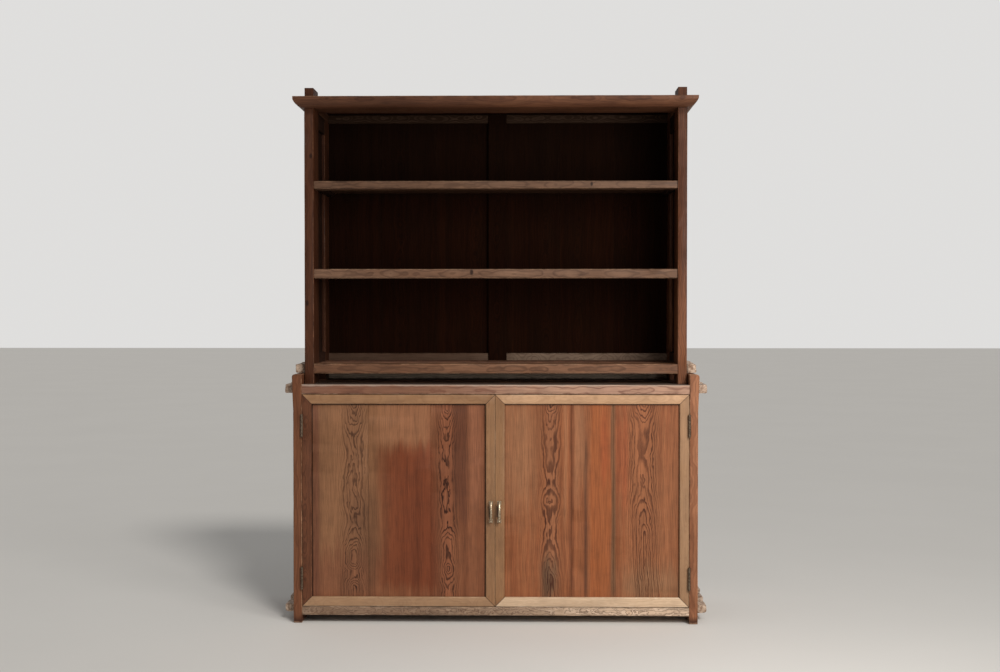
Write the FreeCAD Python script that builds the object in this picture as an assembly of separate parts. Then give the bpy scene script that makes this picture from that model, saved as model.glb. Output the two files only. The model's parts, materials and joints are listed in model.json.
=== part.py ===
import FreeCAD, Part
import os

# Mizuya kitchen cabinet: an open section with two shelves that stands loose on a base with two doors.
# Lengths are in millimetres. +X is the viewer's right, +Y goes back into the cabinet, +Z is up.
# The origin is on the floor, in the middle of the space that the whole cabinet takes up.

os.makedirs("parts", exist_ok=True)
Vector = FreeCAD.Vector

# Base: overall size and heights. The depths that are shares further down are shares of the base's depth
base_width = 1212.0
base_depth = 394.0
foot_height = 24.0
bottom_rail_height = 26.0
door_opening_height = 638.0
top_rail_height = 29.0
head_stand = 30.7

# Base: posts
base_post_width = 26.0
base_post_depth_share = 0.305
head_flare = 4.0
head_flare_height = 112.0
head_corner_radius = 9.0

# Base: through tenons, measured from the outer face of the sides and from the front or rear plane
tenon_stand = 32.5
middle_tenon_extra = 6.0
rear_tenon_extra = 11.5
base_tenon_setback_share = 0.107
tenon_depth_share = 0.152
tenon_end_round = 5.0

# Base: middle bearers and side rails
bearer_depth_share = 0.168
bearer_tenon_share = 0.85
side_rail_height = 66.0
stub_tenon_length = 22.0
stub_tenon_thickness = 9.0
stub_tenon_shoulder = 10.0
through_tenon_clearance = 4.0

# Thin boards of both sections
panel_thickness = 8.0
groove_depth = 6.0
board_thickness = 9.0
board_recess = 3.0

# Base: back, inner shelf and door stop
base_muntin_width = 60.0
base_muntin_thickness = 24.0
base_shelf_height = 330.0
base_shelf_thickness = 15.0
base_shelf_setback = 60.0
base_cleat_width = 18.0
base_cleat_height = 20.0
base_cleat_setback = 30.0
stop_length = 400.0
stop_section = 12.0

# Doors
door_thickness = 24.0
door_inset = 1.0
door_gap = 1.2
door_side_gap = 0.8
meeting_gap = 0.5
closing_bevel = 1.0
frame_width = 28.0
frame_bevel = 2.0
frame_edge_ease = 0.6
door_panel_recess = 9.0
door_tenon_thickness = 8.0
door_tenon_shoulder = 6.0
batten_height = 30.0
batten_thickness = 6.0
batten_place_shares = (0.22, 0.78)
left_board_shares = (0.33, 0.35, 0.32)
right_board_shares = (0.385, 0.235, 0.38)
board_joint_bevel = 0.8

# Handles, the height counted from the top of the bottom rail
handle_rise = 286.0
handle_from_seam = 12.5
handle_length = 66.0
handle_foot_side = 12.0
handle_foot_thickness = 2.0
handle_stem_radius = 3.2
handle_stem_length = 13.0
handle_ball_radius = 4.4
handle_bow_rise = 8.0
handle_bar_width = 8.4
handle_bar_thickness = 5.2
handle_bolt_radius = 1.8
handle_bolt_grip = 4.0
handle_bolt_head_radius = 4.0
handle_bolt_head_height = 1.6

# Hinges, their middles counted from the bottom and from the top of the door opening
hinge_length = 66.0
lower_hinge_inset = 86.0
upper_hinge_inset = 94.0
leaf_thickness = 1.1
leaf_play = 0.4
leaf_width = 20.0
knuckle_radius = 4.0
knuckle_offset = 4.4
knuckle_wall_bite = 0.8
knuckle_gap = 0.3
knuckle_count = 5
pin_radius = 2.0
pin_play = 0.05
pin_head_radius = 3.2
pin_head_height = 1.4
hinge_screw_radius = 1.4
hinge_screw_head_radius = 2.8
hinge_screw_length = 13.0
hinge_screw_row = 12.0
hinge_screw_spacing = 22.0

# Upper section: size and heights, each bay counted from the piece below it
upper_setback = 45.5
upper_side_gap = 2.6
upper_shift_share = -0.15
upper_rail_height = 29.5
lower_bay = 258.7
lower_shelf_thickness = 28.0
middle_bay = 242.8
upper_shelf_thickness = 23.1
top_bay = 218.9
cornice_thickness = 31.6
post_tenon_stand = 30.8

# Upper section: posts and rails
upper_post_width = 27.8
upper_post_depth_share = 0.27
post_tenon_side_shoulder = 0.5
post_tenon_end_shoulder = 6.0
upper_tenon_setback_share = 0.061
upper_rear_tenon_setback_share = 0.084
upper_bottom_side_rail_height = 60.0
upper_top_side_rail_height = 50.0

# Upper section: top
cornice_depth = 150.0
cornice_front_overhang = 35.0
cornice_side_overhang = 30.1
cornice_bevel = 23.0
cornice_bevel_bulge_share = 0.62
ceiling_thickness = 8.0
ceiling_ledge = 8.0
ceiling_board_count = 4

# Upper section: back
back_rail_thickness = 25.0
back_bottom_rail_height = 82.7
back_top_rail_height = 27.0
upper_muntin_width = 59.0
upper_muntin_stand = 5.0
upper_muntin_rear_step = 6.0
back_board_count = 3

# Upper section: shelves
shelf_front_setback = 6.0
shelf_front_depth = 60.0
shelf_board_thickness = 12.0
shelf_tenon_length = 18.0
shelf_tenon_shoulder = 5.0
shelf_cleat_width = 20.0
shelf_cleat_height = 11.0

# Fits and finishing
joint_fit = 0.1
board_play = 0.4
seat_gap = 0.3
edge_ease = 1.5
foot_ease = 1.2
overrun = 2.0
same_place = 0.01
parallel_share = 0.98

# Heights worked out from the sizes above
bottom_rail_top = foot_height + bottom_rail_height
top_rail_bottom = bottom_rail_top + door_opening_height
base_top = top_rail_bottom + top_rail_height
head_top = base_top + head_stand
handle_height = bottom_rail_top + handle_rise
upper_section_bottom = base_top + seat_gap
upper_rail_bottom = head_top + seat_gap
upper_floor = upper_rail_bottom + upper_rail_height
lower_shelf_bottom = upper_floor + lower_bay
lower_shelf_top = lower_shelf_bottom + lower_shelf_thickness
upper_shelf_bottom = lower_shelf_top + middle_bay
upper_shelf_top = upper_shelf_bottom + upper_shelf_thickness
cornice_bottom = upper_shelf_top + top_bay
cornice_top = cornice_bottom + cornice_thickness
post_tenon_top = cornice_top + post_tenon_stand

# Depths worked out from the sizes above
base_post_depth = base_depth * base_post_depth_share
base_tenon_setback = base_depth * base_tenon_setback_share
tenon_depth = base_depth * tenon_depth_share
bearer_depth = base_depth * bearer_depth_share
bearer_tenon_depth = bearer_depth * bearer_tenon_share
upper_post_depth = base_depth * upper_post_depth_share
upper_tenon_setback = base_depth * upper_tenon_setback_share
upper_rear_tenon_setback = base_depth * upper_rear_tenon_setback_share
handle_reach = handle_stem_length + handle_bow_rise + handle_bar_thickness / 2
half_depth = (base_depth + handle_reach - door_inset) / 2
back_y = half_depth
front_y = back_y - base_depth
middle_y = (front_y + back_y) / 2
front_post_back = front_y + base_post_depth
rear_post_front = back_y - base_post_depth
door_front = front_y + door_inset
door_back = door_front + door_thickness
upper_front = front_y + upper_setback
upper_post_back = upper_front + upper_post_depth
upper_rear_post_front = back_y - upper_post_depth
upper_middle_y = (upper_front + back_y) / 2
back_frame_front = back_y - back_rail_thickness

# Widths worked out from the sizes above
base_half = base_width / 2
opening_half = base_half - base_post_width
upper_half = opening_half - upper_side_gap
upper_opening_half = upper_half - upper_post_width
upper_shift = upper_side_gap * upper_shift_share

X_AXIS = Vector(1, 0, 0)
Y_AXIS = Vector(0, 1, 0)
Z_AXIS = Vector(0, 0, 1)


# Building blocks
def block(x0, x1, y0, y1, z0, z1):
    return Part.makeBox(x1 - x0, y1 - y0, z1 - z0, Vector(x0, y0, z0))


def union(shape, *others):
    return shape.fuse(list(others)).removeSplitter()


def cut(shape, *cutters):
    return shape.cut(list(cutters))


def mirrored(shape):
    return shape.mirror(Vector(0, 0, 0), X_AXIS)


def both_sides(shape):
    return [mirrored(shape), shape]


def runs_along(edge, axis):
    return abs(edge.tangentAt(edge.FirstParameter).dot(axis)) > parallel_share


def eased(shape, axis, size):
    return shape.makeChamfer(size, [edge for edge in shape.Edges if runs_along(edge, axis)])


def rounded_end(shape, x, radius):
    rim = [edge for edge in shape.Edges if all(abs(v.X - x) < same_place for v in edge.Vertexes)]
    return shape.makeFillet(radius, rim)


def eased_foot(shape, size):
    rim = [edge for edge in shape.Edges if all(abs(v.Z) < same_place for v in edge.Vertexes)]
    return shape.makeChamfer(size, rim)


def prism_xz(points, y0, y1):
    corners = [Vector(x, y0, z) for x, z in points]
    outline = Part.makePolygon(corners + corners[:1])
    return Part.Face(outline).extrude(Vector(0, y1 - y0, 0))


def save(node, shapes):
    shape = shapes[0] if len(shapes) == 1 else Part.makeCompound(shapes)
    shape.exportStep("parts/" + node + ".step")
    print(node, len(shape.Solids), "solids, valid", shape.isValid(), round(shape.Volume))


def save_upper(node, shapes):
    save(node, [shape.translated(Vector(upper_shift, 0, 0)) for shape in shapes])


# Base: the through tenons of the front and rear rails and of the middle bearers
base_levels = {
    "bottom": (foot_height, bottom_rail_top),
    "top": (top_rail_bottom, base_top),
}
front_tenon_span = (front_y + base_tenon_setback, front_y + base_tenon_setback + tenon_depth)
rear_tenon_span = (back_y - base_tenon_setback - tenon_depth, back_y - base_tenon_setback)
bearer_span = (middle_y - bearer_depth / 2, middle_y + bearer_depth / 2)
bearer_tenon_span = (middle_y - bearer_tenon_depth / 2, middle_y + bearer_tenon_depth / 2)


def tenoned_rail(half_length, y_span, z_span, tenon_span, tenon_end):
    y0, y1 = y_span
    z0, z1 = z_span
    rail = eased(block(-half_length, half_length, y0, y1, z0, z1), X_AXIS, edge_ease)
    root = half_length - tenon_end_round
    tenon = block(root, tenon_end, tenon_span[0], tenon_span[1], z0, z1)
    tenon = rounded_end(tenon, tenon_end, tenon_end_round)
    return union(rail, *both_sides(tenon))


def through_mortise(inner_half, outer_half, y_span, z_span):
    x0 = inner_half - overrun
    x1 = outer_half + head_flare + overrun
    y0, y1 = y_span
    z0, z1 = z_span
    return block(x0, x1, y0 - joint_fit, y1 + joint_fit, z0 - joint_fit, z1 + joint_fit)


# Grooves for the thin panels of the base
side_panel_x = base_half - base_post_width / 2
base_panel_y = back_y - base_muntin_thickness / 2
side_rail_spans = ((foot_height, foot_height + side_rail_height), (base_top - side_rail_height, base_top))
base_stub_spans = (
    (bottom_rail_top + through_tenon_clearance, side_rail_spans[0][1] - stub_tenon_shoulder),
    (side_rail_spans[1][0] + stub_tenon_shoulder, top_rail_bottom - through_tenon_clearance),
)


def base_side_panel(play):
    half = panel_thickness / 2 + play
    reach = groove_depth + play
    low = side_rail_spans[0][1] - reach
    high = side_rail_spans[1][0] + reach
    y0 = front_post_back - reach
    y1 = rear_post_front + reach
    return block(side_panel_x - half, side_panel_x + half, y0, y1, low, high)


def base_back_panel(play):
    half = panel_thickness / 2 + play
    reach = groove_depth + play
    inner = base_muntin_width / 2 - reach
    outer = opening_half + reach
    low = bottom_rail_top - reach
    high = top_rail_bottom + reach
    return block(inner, outer, base_panel_y - half, base_panel_y + half, low, high)


def board_bays(y_spans, half_length, z_top, play):
    reach = groove_depth + play
    z0 = z_top - board_recess - board_thickness - play
    z1 = z_top - board_recess + play
    return [block(-half_length, half_length, y0 - reach, y1 + reach, z0, z1) for y0, y1 in y_spans]


base_bays = ((front_post_back, bearer_span[0]), (bearer_span[1], rear_post_front))


def base_boards(z_top, play):
    return board_bays(base_bays, opening_half + play, z_top, play)


# Base: side rails with stub tenons that enter the posts
def stub_span(y0, y1):
    return (y0 - stub_tenon_length, y1 + stub_tenon_length)


def side_rail_stub(x_middle, y0, y1, stub_z_span, play):
    half = stub_tenon_thickness / 2 + play
    low, high = stub_z_span
    near, far = stub_span(y0, y1)
    return block(x_middle - half, x_middle + half, near - play, far + play, low - play, high + play)


def side_rail(x0, x1, y0, y1, z_span, stub_z_span):
    rail = eased(block(x0, x1, y0, y1, z_span[0], z_span[1]), Y_AXIS, edge_ease)
    return union(rail, side_rail_stub((x0 + x1) / 2, y0, y1, stub_z_span, 0))


base_stub_mortises = [
    side_rail_stub(side_panel_x, front_post_back, rear_post_front, span, joint_fit)
    for span in base_stub_spans
]


def base_post(y0, y1, tenon_span):
    flare_start = head_top - head_flare_height
    flare_x = base_half + head_flare
    corner_x = flare_x - head_corner_radius
    corner_z = head_top - head_corner_radius
    diagonal = head_corner_radius / 2 ** 0.5
    points = [
        Vector(opening_half, y0, 0),
        Vector(base_half, y0, 0),
        Vector(base_half, y0, flare_start),
        Vector(flare_x, y0, corner_z),
        Vector(corner_x + diagonal, y0, corner_z + diagonal),
        Vector(corner_x, y0, head_top),
        Vector(opening_half, y0, head_top),
    ]
    outline = Part.Wire([
        Part.makeLine(points[0], points[1]),
        Part.makeLine(points[1], points[2]),
        Part.makeLine(points[2], points[3]),
        Part.Arc(points[3], points[4], points[5]).toShape(),
        Part.makeLine(points[5], points[6]),
        Part.makeLine(points[6], points[0]),
    ])
    post = eased(Part.Face(outline).extrude(Vector(0, y1 - y0, 0)), Z_AXIS, edge_ease)
    post = eased_foot(post, foot_ease)
    mortises = [through_mortise(opening_half, base_half, tenon_span, span) for span in base_levels.values()]
    return cut(post, base_side_panel(joint_fit), *mortises, *base_stub_mortises)


# Hinges: one axis per door, in front of the gap between door and post, the leaves let in flush
hinge_x = opening_half - door_side_gap / 2
hinge_y = front_y - knuckle_offset
hinge_heights = (bottom_rail_top + lower_hinge_inset, top_rail_bottom - upper_hinge_inset)
screw_offsets = (-hinge_screw_spacing, 0, hinge_screw_spacing)
screw_y = front_y + hinge_screw_row


def hinge_screw(z, direction, play):
    face_x = hinge_x + direction * leaf_play / 2
    start = Vector(face_x, screw_y, z)
    along = Vector(direction, 0, 0)
    head_radius = hinge_screw_head_radius + play
    head = Part.makeCone(head_radius, hinge_screw_radius + play, leaf_thickness, start, along)
    shank = Part.makeCylinder(hinge_screw_radius + play, hinge_screw_length + play, start, along)
    return union(head, shank)


def hinge_screws(direction, play):
    return [hinge_screw(z + offset, direction, play) for z in hinge_heights for offset in screw_offsets]


def hinge_leaf(z_middle, direction, own_knuckles):
    z0 = z_middle - hinge_length / 2
    pitch = hinge_length / knuckle_count
    near = hinge_x + direction * leaf_play / 2
    far = near + direction * leaf_thickness
    x0, x1 = min(near, far), max(near, far)
    leaf = block(x0, x1, front_y, front_y + leaf_width, z0, z0 + hinge_length)
    for number in own_knuckles:
        low = z0 + number * pitch + knuckle_gap / 2
        high = low + pitch - knuckle_gap
        barrel = Part.makeCylinder(knuckle_radius, high - low, Vector(hinge_x, hinge_y, low), Z_AXIS)
        tab = block(x0, x1, hinge_y + knuckle_radius - knuckle_wall_bite, front_y + leaf_thickness, low, high)
        leaf = union(leaf, barrel, tab)
    bore_low = Vector(hinge_x, hinge_y, z0 - overrun)
    bore = Part.makeCylinder(pin_radius + pin_play, hinge_length + overrun * 2, bore_low, Z_AXIS)
    holes = [hinge_screw(z_middle + offset, direction, joint_fit) for offset in screw_offsets]
    return cut(leaf, bore, *holes)


def hinge_pockets(direction):
    far = hinge_x + direction * (leaf_play / 2 + leaf_thickness + joint_fit)
    x0, x1 = min(hinge_x, far), max(hinge_x, far)
    y0 = front_y - overrun
    y1 = front_y + leaf_width + joint_fit
    half = hinge_length / 2 + joint_fit
    return [block(x0, x1, y0, y1, z - half, z + half) for z in hinge_heights]


def hinge_pin(z_middle):
    low = Vector(hinge_x, hinge_y, z_middle - hinge_length / 2)
    high = Vector(hinge_x, hinge_y, z_middle + hinge_length / 2)
    pin = Part.makeCylinder(pin_radius, hinge_length, low, Z_AXIS)
    foot = Part.makeCylinder(pin_head_radius, pin_head_height, low, -Z_AXIS)
    cap = Part.makeCylinder(pin_head_radius, pin_head_height, high, Z_AXIS)
    return union(pin, foot, cap)


post_knuckles = range(0, knuckle_count, 2)
door_knuckles = range(1, knuckle_count, 2)


def build_base_frame():
    post = base_post(front_y, front_post_back, front_tenon_span)
    front = cut(post, *hinge_pockets(1), *hinge_screws(1, joint_fit))
    rear = cut(base_post(rear_post_front, back_y, rear_tenon_span), base_back_panel(joint_fit))
    save("base_front_left_post", [mirrored(front)])
    save("base_front_right_post", [front])
    save("base_rear_posts", both_sides(rear))
    tenon_end = base_half + tenon_stand
    for level, z_span in base_levels.items():
        boards = base_boards(z_span[1], joint_fit)
        front_span = (front_y, front_post_back)
        front_rail = tenoned_rail(opening_half, front_span, z_span, front_tenon_span, tenon_end)
        save("base_front_" + level + "_rail", [cut(front_rail, *boards)])
        bearer_end = tenon_end + middle_tenon_extra
        bearer = tenoned_rail(opening_half, bearer_span, z_span, bearer_tenon_span, bearer_end)
        save("base_middle_" + level + "_bearer", [cut(bearer, *boards)])
        rear_end = tenon_end + rear_tenon_extra
        rear_span = (rear_post_front, back_y)
        rear_rail = tenoned_rail(opening_half, rear_span, z_span, rear_tenon_span, rear_end)
        back_grooves = both_sides(base_back_panel(joint_fit))
        muntin_mortise = base_muntin_stub(joint_fit)
        save("base_rear_" + level + "_rail", [cut(rear_rail, muntin_mortise, *boards, *back_grooves)])


def base_muntin_stub(play):
    half = base_muntin_width / 2 - stub_tenon_shoulder + play
    thick = stub_tenon_thickness / 2 + play
    reach = stub_tenon_thickness + play
    low = bottom_rail_top - reach
    high = top_rail_bottom + reach
    return block(-half, half, base_panel_y - thick, base_panel_y + thick, low, high)


def build_base_sides():
    rails = []
    for z_span, stub_z_span, level in zip(side_rail_spans, base_stub_spans, base_levels.values()):
        rail = side_rail(opening_half, base_half, front_post_back, rear_post_front, z_span, stub_z_span)
        mortise = through_mortise(opening_half, base_half, bearer_tenon_span, level)
        rails += both_sides(cut(rail, mortise, base_side_panel(joint_fit)))
    save("base_side_rails", rails)
    save("base_side_panels", both_sides(base_side_panel(0)))


def split_boards(panel, x0, x1, shares):
    boards = []
    box = panel.BoundBox
    left = x0
    for share in shares:
        right = left + (x1 - x0) * share
        piece = block(left, right, box.YMin, box.YMax, box.ZMin, box.ZMax)
        boards.append(eased(piece, Z_AXIS, board_joint_bevel))
        left = right
    return boards


def even_shares(count):
    return [1 / count] * count


def build_base_back():
    muntin = block(-base_muntin_width / 2, base_muntin_width / 2, back_y - base_muntin_thickness, back_y,
                   bottom_rail_top, top_rail_bottom)
    muntin = union(eased(muntin, Z_AXIS, edge_ease), base_muntin_stub(0))
    save("base_back_muntin", [cut(muntin, *both_sides(base_back_panel(joint_fit)))])
    panel = base_back_panel(0)
    boards = split_boards(panel, panel.BoundBox.XMin, panel.BoundBox.XMax, even_shares(back_board_count))
    save("base_back_boards", boards + [mirrored(board) for board in boards])


def build_base_inside():
    save("base_floor_boards", board_bays(base_bays, opening_half - board_play, bottom_rail_top, 0))
    save("base_top_boards", board_bays(base_bays, opening_half - board_play, base_top, 0))
    shelf_back = back_y - base_muntin_thickness - board_play
    shelf_front = front_y + base_shelf_setback
    shelf_middle = (shelf_front + shelf_back) / 2
    shelf_half = opening_half - board_play
    shelf_top = bottom_rail_top + base_shelf_height
    shelf_bottom = shelf_top - base_shelf_thickness
    shelf = [
        eased(block(-shelf_half, shelf_half, y0, y1, shelf_bottom, shelf_top), X_AXIS, board_joint_bevel)
        for y0, y1 in ((shelf_front, shelf_middle), (shelf_middle, shelf_back))
    ]
    save("base_shelf_boards", shelf)
    cleat = block(opening_half - base_cleat_width, opening_half, front_y + base_cleat_setback, shelf_back,
                  shelf_bottom - base_cleat_height, shelf_bottom)
    save("base_shelf_cleats", both_sides(eased(cleat, Y_AXIS, edge_ease)))
    stop_front = door_back + seat_gap
    stop = block(-stop_length / 2, stop_length / 2, stop_front, stop_front + stop_section,
                 top_rail_bottom - stop_section, top_rail_bottom)
    save("door_stop_strip", [eased(stop, X_AXIS, edge_ease)])


def build_base_hinges():
    leaves = [hinge_leaf(z, 1, post_knuckles) for z in hinge_heights]
    pins = [hinge_pin(z) for z in hinge_heights]
    screws = hinge_screws(1, 0)
    save("hinge_post_leaves", leaves + [mirrored(leaf) for leaf in leaves])
    save("hinge_pins", pins + [mirrored(pin) for pin in pins])
    save("hinge_post_screws", screws + [mirrored(screw) for screw in screws])


# Doors, drawn for the right-hand side and mirrored for the left
door_outer = opening_half - door_side_gap
door_inner = meeting_gap / 2
door_bottom = bottom_rail_top + door_gap
door_top = top_rail_bottom - door_gap
door_panel_front = door_front + door_panel_recess
door_panel_back = door_panel_front + panel_thickness
door_tenon_front = door_front + (door_thickness - door_tenon_thickness) / 2


def door_panel_space(play):
    reach = frame_width - groove_depth - play
    x0 = door_inner + reach
    x1 = door_outer - reach
    y0 = door_panel_front - play
    y1 = door_panel_back + play
    return block(x0, x1, y0, y1, door_bottom + reach, door_top - reach)


def door_corner_tenons(play):
    tenons = []
    y0 = door_tenon_front - play
    y1 = door_tenon_front + door_tenon_thickness + play
    far = door_tenon_shoulder - play
    near = frame_width + play
    for z0, z1 in ((door_top - near, door_top - far), (door_bottom + far, door_bottom + near)):
        tenons.append(block(door_outer - near, door_outer - far, y0, y1, z0, z1))
        tenons.append(block(door_inner + far, door_inner + near, y0, y1, z0, z1))
    return tenons


# The face where the doors meet leans back, so that its rear corner clears the other door
def closing_wedge():
    corners = [
        Vector(door_inner - overrun, door_front, 0),
        Vector(door_inner, door_front, 0),
        Vector(door_inner + closing_bevel, door_back, 0),
        Vector(door_inner - overrun, door_back, 0),
    ]
    outline = Part.makePolygon(corners + corners[:1])
    return Part.Face(outline).extrude(Vector(0, 0, top_rail_bottom))


def bevelled_member(points, axis):
    member = prism_xz(points, door_front, door_back)
    outer_length = max(edge.Length for edge in member.Edges)
    inner_limit = outer_length - frame_width
    inner = [edge for edge in member.Edges if runs_along(edge, axis) and edge.Length < inner_limit]
    member = member.makeChamfer(frame_bevel, inner)
    outer = [edge for edge in member.Edges if runs_along(edge, axis) and edge.Length > inner_limit]
    return cut(member.makeChamfer(frame_edge_ease, outer), closing_wedge())


def door_stile(x_edge, inward):
    x_inner = x_edge + inward * frame_width
    points = [
        (x_edge, door_bottom),
        (x_inner, door_bottom + frame_width),
        (x_inner, door_top - frame_width),
        (x_edge, door_top),
    ]
    stile = bevelled_member(points, Z_AXIS)
    return cut(stile, door_panel_space(joint_fit), *door_corner_tenons(joint_fit))


def door_rail(z_edge, inward):
    z_inner = z_edge + inward * frame_width
    points = [
        (door_inner, z_edge),
        (door_outer, z_edge),
        (door_outer - frame_width, z_inner),
        (door_inner + frame_width, z_inner),
    ]
    rail = bevelled_member(points, X_AXIS)
    near = [tenon for tenon in door_corner_tenons(0) if abs(tenon.CenterOfMass.z - z_edge) < frame_width]
    return cut(union(rail, *near), door_panel_space(joint_fit))


def handle_bolt(z, play):
    x = handle_from_seam
    back_space = Vector(x, door_back, z)
    shank_length = door_thickness + handle_bolt_grip
    shank = Part.makeCylinder(handle_bolt_radius + play, shank_length, back_space, -Y_AXIS)
    head = Part.makeCylinder(handle_bolt_head_radius, handle_bolt_head_height, back_space, Y_AXIS)
    return union(shank, head) if play == 0 else shank


handle_stem_reach = (handle_length - handle_foot_side) / 2
handle_stem_heights = (handle_height - handle_stem_reach, handle_height + handle_stem_reach)


def handle():
    x = handle_from_seam
    ball_y = door_front - handle_stem_length
    shapes = []
    for z in handle_stem_heights:
        foot_half = handle_foot_side / 2
        foot = block(x - foot_half, x + foot_half, door_front - handle_foot_thickness, door_front,
                     z - foot_half, z + foot_half)
        shapes.append(eased(foot, Y_AXIS, edge_ease))
        root = Vector(x, door_front, z)
        shapes.append(Part.makeCylinder(handle_stem_radius, handle_stem_length, root, -Y_AXIS))
        shapes.append(Part.makeSphere(handle_ball_radius, Vector(x, ball_y, z)))
    low, high = [Vector(x, ball_y, z) for z in handle_stem_heights]
    apex = Vector(x, ball_y - handle_bow_rise, handle_height)
    bow = Part.Wire([Part.Arc(low, apex, high).toShape()])
    start = bow.Edges[0]
    direction = start.tangentAt(start.FirstParameter)
    section = Part.Ellipse(Vector(0, 0, 0), handle_bar_width / 2, handle_bar_thickness / 2).toShape()
    section = Part.Wire([section])
    section.Placement = FreeCAD.Placement(low, FreeCAD.Rotation(X_AXIS, Y_AXIS, direction, "ZXY"))
    bar = bow.makePipeShell([section], True, False)
    body = union(shapes[0], bar, *shapes[1:])
    return cut(body, *[handle_bolt(z, joint_fit) for z in handle_stem_heights])


def build_door(name, place, board_shares):
    hinge_stile = door_stile(door_outer, -1)
    hinge_stile = cut(hinge_stile, *hinge_pockets(-1), *hinge_screws(-1, joint_fit))
    meeting_stile = cut(door_stile(door_inner, 1), *[handle_bolt(z, joint_fit) for z in handle_stem_heights])
    save(name + "_hinge_stile", [place(hinge_stile)])
    save(name + "_meeting_stile", [place(meeting_stile)])
    save(name + "_rails", [place(door_rail(door_top, -1)), place(door_rail(door_bottom, 1))])
    panel = door_panel_space(0)
    boards = split_boards(panel, panel.BoundBox.XMin, panel.BoundBox.XMax, board_shares)
    save(name + "_panel_boards", [place(board) for board in boards])
    battens = []
    for share in batten_place_shares:
        z = door_bottom + (door_top - door_bottom) * share
        x0 = door_inner + frame_width + board_play
        x1 = door_outer - frame_width - board_play
        batten = block(x0, x1, door_panel_back, door_panel_back + batten_thickness,
                       z - batten_height / 2, z + batten_height / 2)
        battens.append(place(eased(batten, X_AXIS, edge_ease)))
    save(name + "_battens", battens)
    save(name + "_handle", [place(handle())])
    save(name + "_handle_bolts", [place(handle_bolt(z, 0)) for z in handle_stem_heights])
    save(name + "_hinge_leaves", [place(hinge_leaf(z, -1, door_knuckles)) for z in hinge_heights])
    save(name + "_hinge_screws", [place(screw) for screw in hinge_screws(-1, 0)])


def build_doors():
    build_door("left_door", mirrored, tuple(reversed(left_board_shares)))
    build_door("right_door", lambda shape: shape, right_board_shares)


# Upper section: grooves, bays and tenons
upper_side_x = upper_half - upper_post_width / 2
upper_rail_span = (upper_rail_bottom, upper_floor)
upper_side_rail_spans = (
    (upper_rail_bottom, upper_rail_bottom + upper_bottom_side_rail_height),
    (cornice_bottom - upper_top_side_rail_height, cornice_bottom),
)
upper_stub_spans = (
    (upper_floor + through_tenon_clearance, upper_side_rail_spans[0][1] - stub_tenon_shoulder),
    (upper_side_rail_spans[1][0] + stub_tenon_shoulder, cornice_bottom - stub_tenon_shoulder),
)
upper_front_tenon = (upper_front + upper_tenon_setback, upper_front + upper_tenon_setback + tenon_depth)
upper_rear_tenon_back = back_y - upper_rear_tenon_setback
upper_rear_tenon = (upper_rear_tenon_back - tenon_depth, upper_rear_tenon_back)
upper_bearer = (upper_middle_y - bearer_depth / 2, upper_middle_y + bearer_depth / 2)
upper_bearer_tenon = (upper_middle_y - bearer_tenon_depth / 2, upper_middle_y + bearer_tenon_depth / 2)
upper_bays = ((upper_post_back, upper_bearer[0]), (upper_bearer[1], upper_rear_post_front))
back_bottom_rail_top = upper_section_bottom + back_bottom_rail_height
back_top_rail_top = cornice_top - ceiling_thickness
back_top_rail_bottom = back_top_rail_top - back_top_rail_height
upper_back_panel_y = back_y - back_rail_thickness / 2


def upper_side_panel(play):
    half = panel_thickness / 2 + play
    reach = groove_depth + play
    low = upper_side_rail_spans[0][1] - reach
    high = upper_side_rail_spans[1][0] + reach
    y0 = upper_post_back - reach
    y1 = upper_rear_post_front + reach
    return block(upper_side_x - half, upper_side_x + half, y0, y1, low, high)


def upper_back_panel(play):
    half = panel_thickness / 2 + play
    reach = groove_depth + play
    inner = upper_muntin_width / 2 - reach
    outer = upper_opening_half + reach
    y0 = upper_back_panel_y - half
    y1 = upper_back_panel_y + half
    return block(inner, outer, y0, y1, back_bottom_rail_top - reach, back_top_rail_bottom + reach)


def post_tenon(y0, y1, play):
    x0 = upper_opening_half + post_tenon_side_shoulder - play
    x1 = upper_half - post_tenon_side_shoulder + play
    low = cornice_bottom - edge_ease - play
    return block(x0, x1, y0 + post_tenon_end_shoulder - play, y1 - post_tenon_end_shoulder + play,
                 low, post_tenon_top + play)


def back_rail_stub(z0, z1, play):
    half_thick = stub_tenon_thickness / 2 + play
    reach = upper_opening_half + stub_tenon_thickness + play
    y0 = upper_back_panel_y - half_thick
    y1 = upper_back_panel_y + half_thick
    shoulder = stub_tenon_shoulder - play
    return block(-reach, reach, y0, y1, z0 + shoulder, z1 - shoulder)


def shelf_stub(z0, z1, play):
    reach = upper_opening_half + shelf_tenon_length + play
    y0 = upper_front + shelf_front_setback + shelf_tenon_shoulder - play
    y1 = upper_front + shelf_front_setback + shelf_front_depth - shelf_tenon_shoulder + play
    shoulder = shelf_tenon_shoulder - play
    return block(-reach, reach, y0, y1, z0 + shoulder, z1 - shoulder)


shelf_spans = ((lower_shelf_bottom, lower_shelf_top), (upper_shelf_bottom, upper_shelf_top))
upper_stub_mortises = [
    side_rail_stub(upper_side_x, upper_post_back, upper_rear_post_front, span, joint_fit)
    for span in upper_stub_spans
]


def upper_post(y0, y1):
    post = block(upper_opening_half, upper_half, y0, y1, upper_section_bottom, cornice_bottom)
    post = eased(post, Z_AXIS, edge_ease)
    tenon = eased(post_tenon(y0, y1, 0), X_AXIS, edge_ease)
    return cut(union(post, tenon), upper_side_panel(joint_fit), *upper_stub_mortises)


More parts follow.
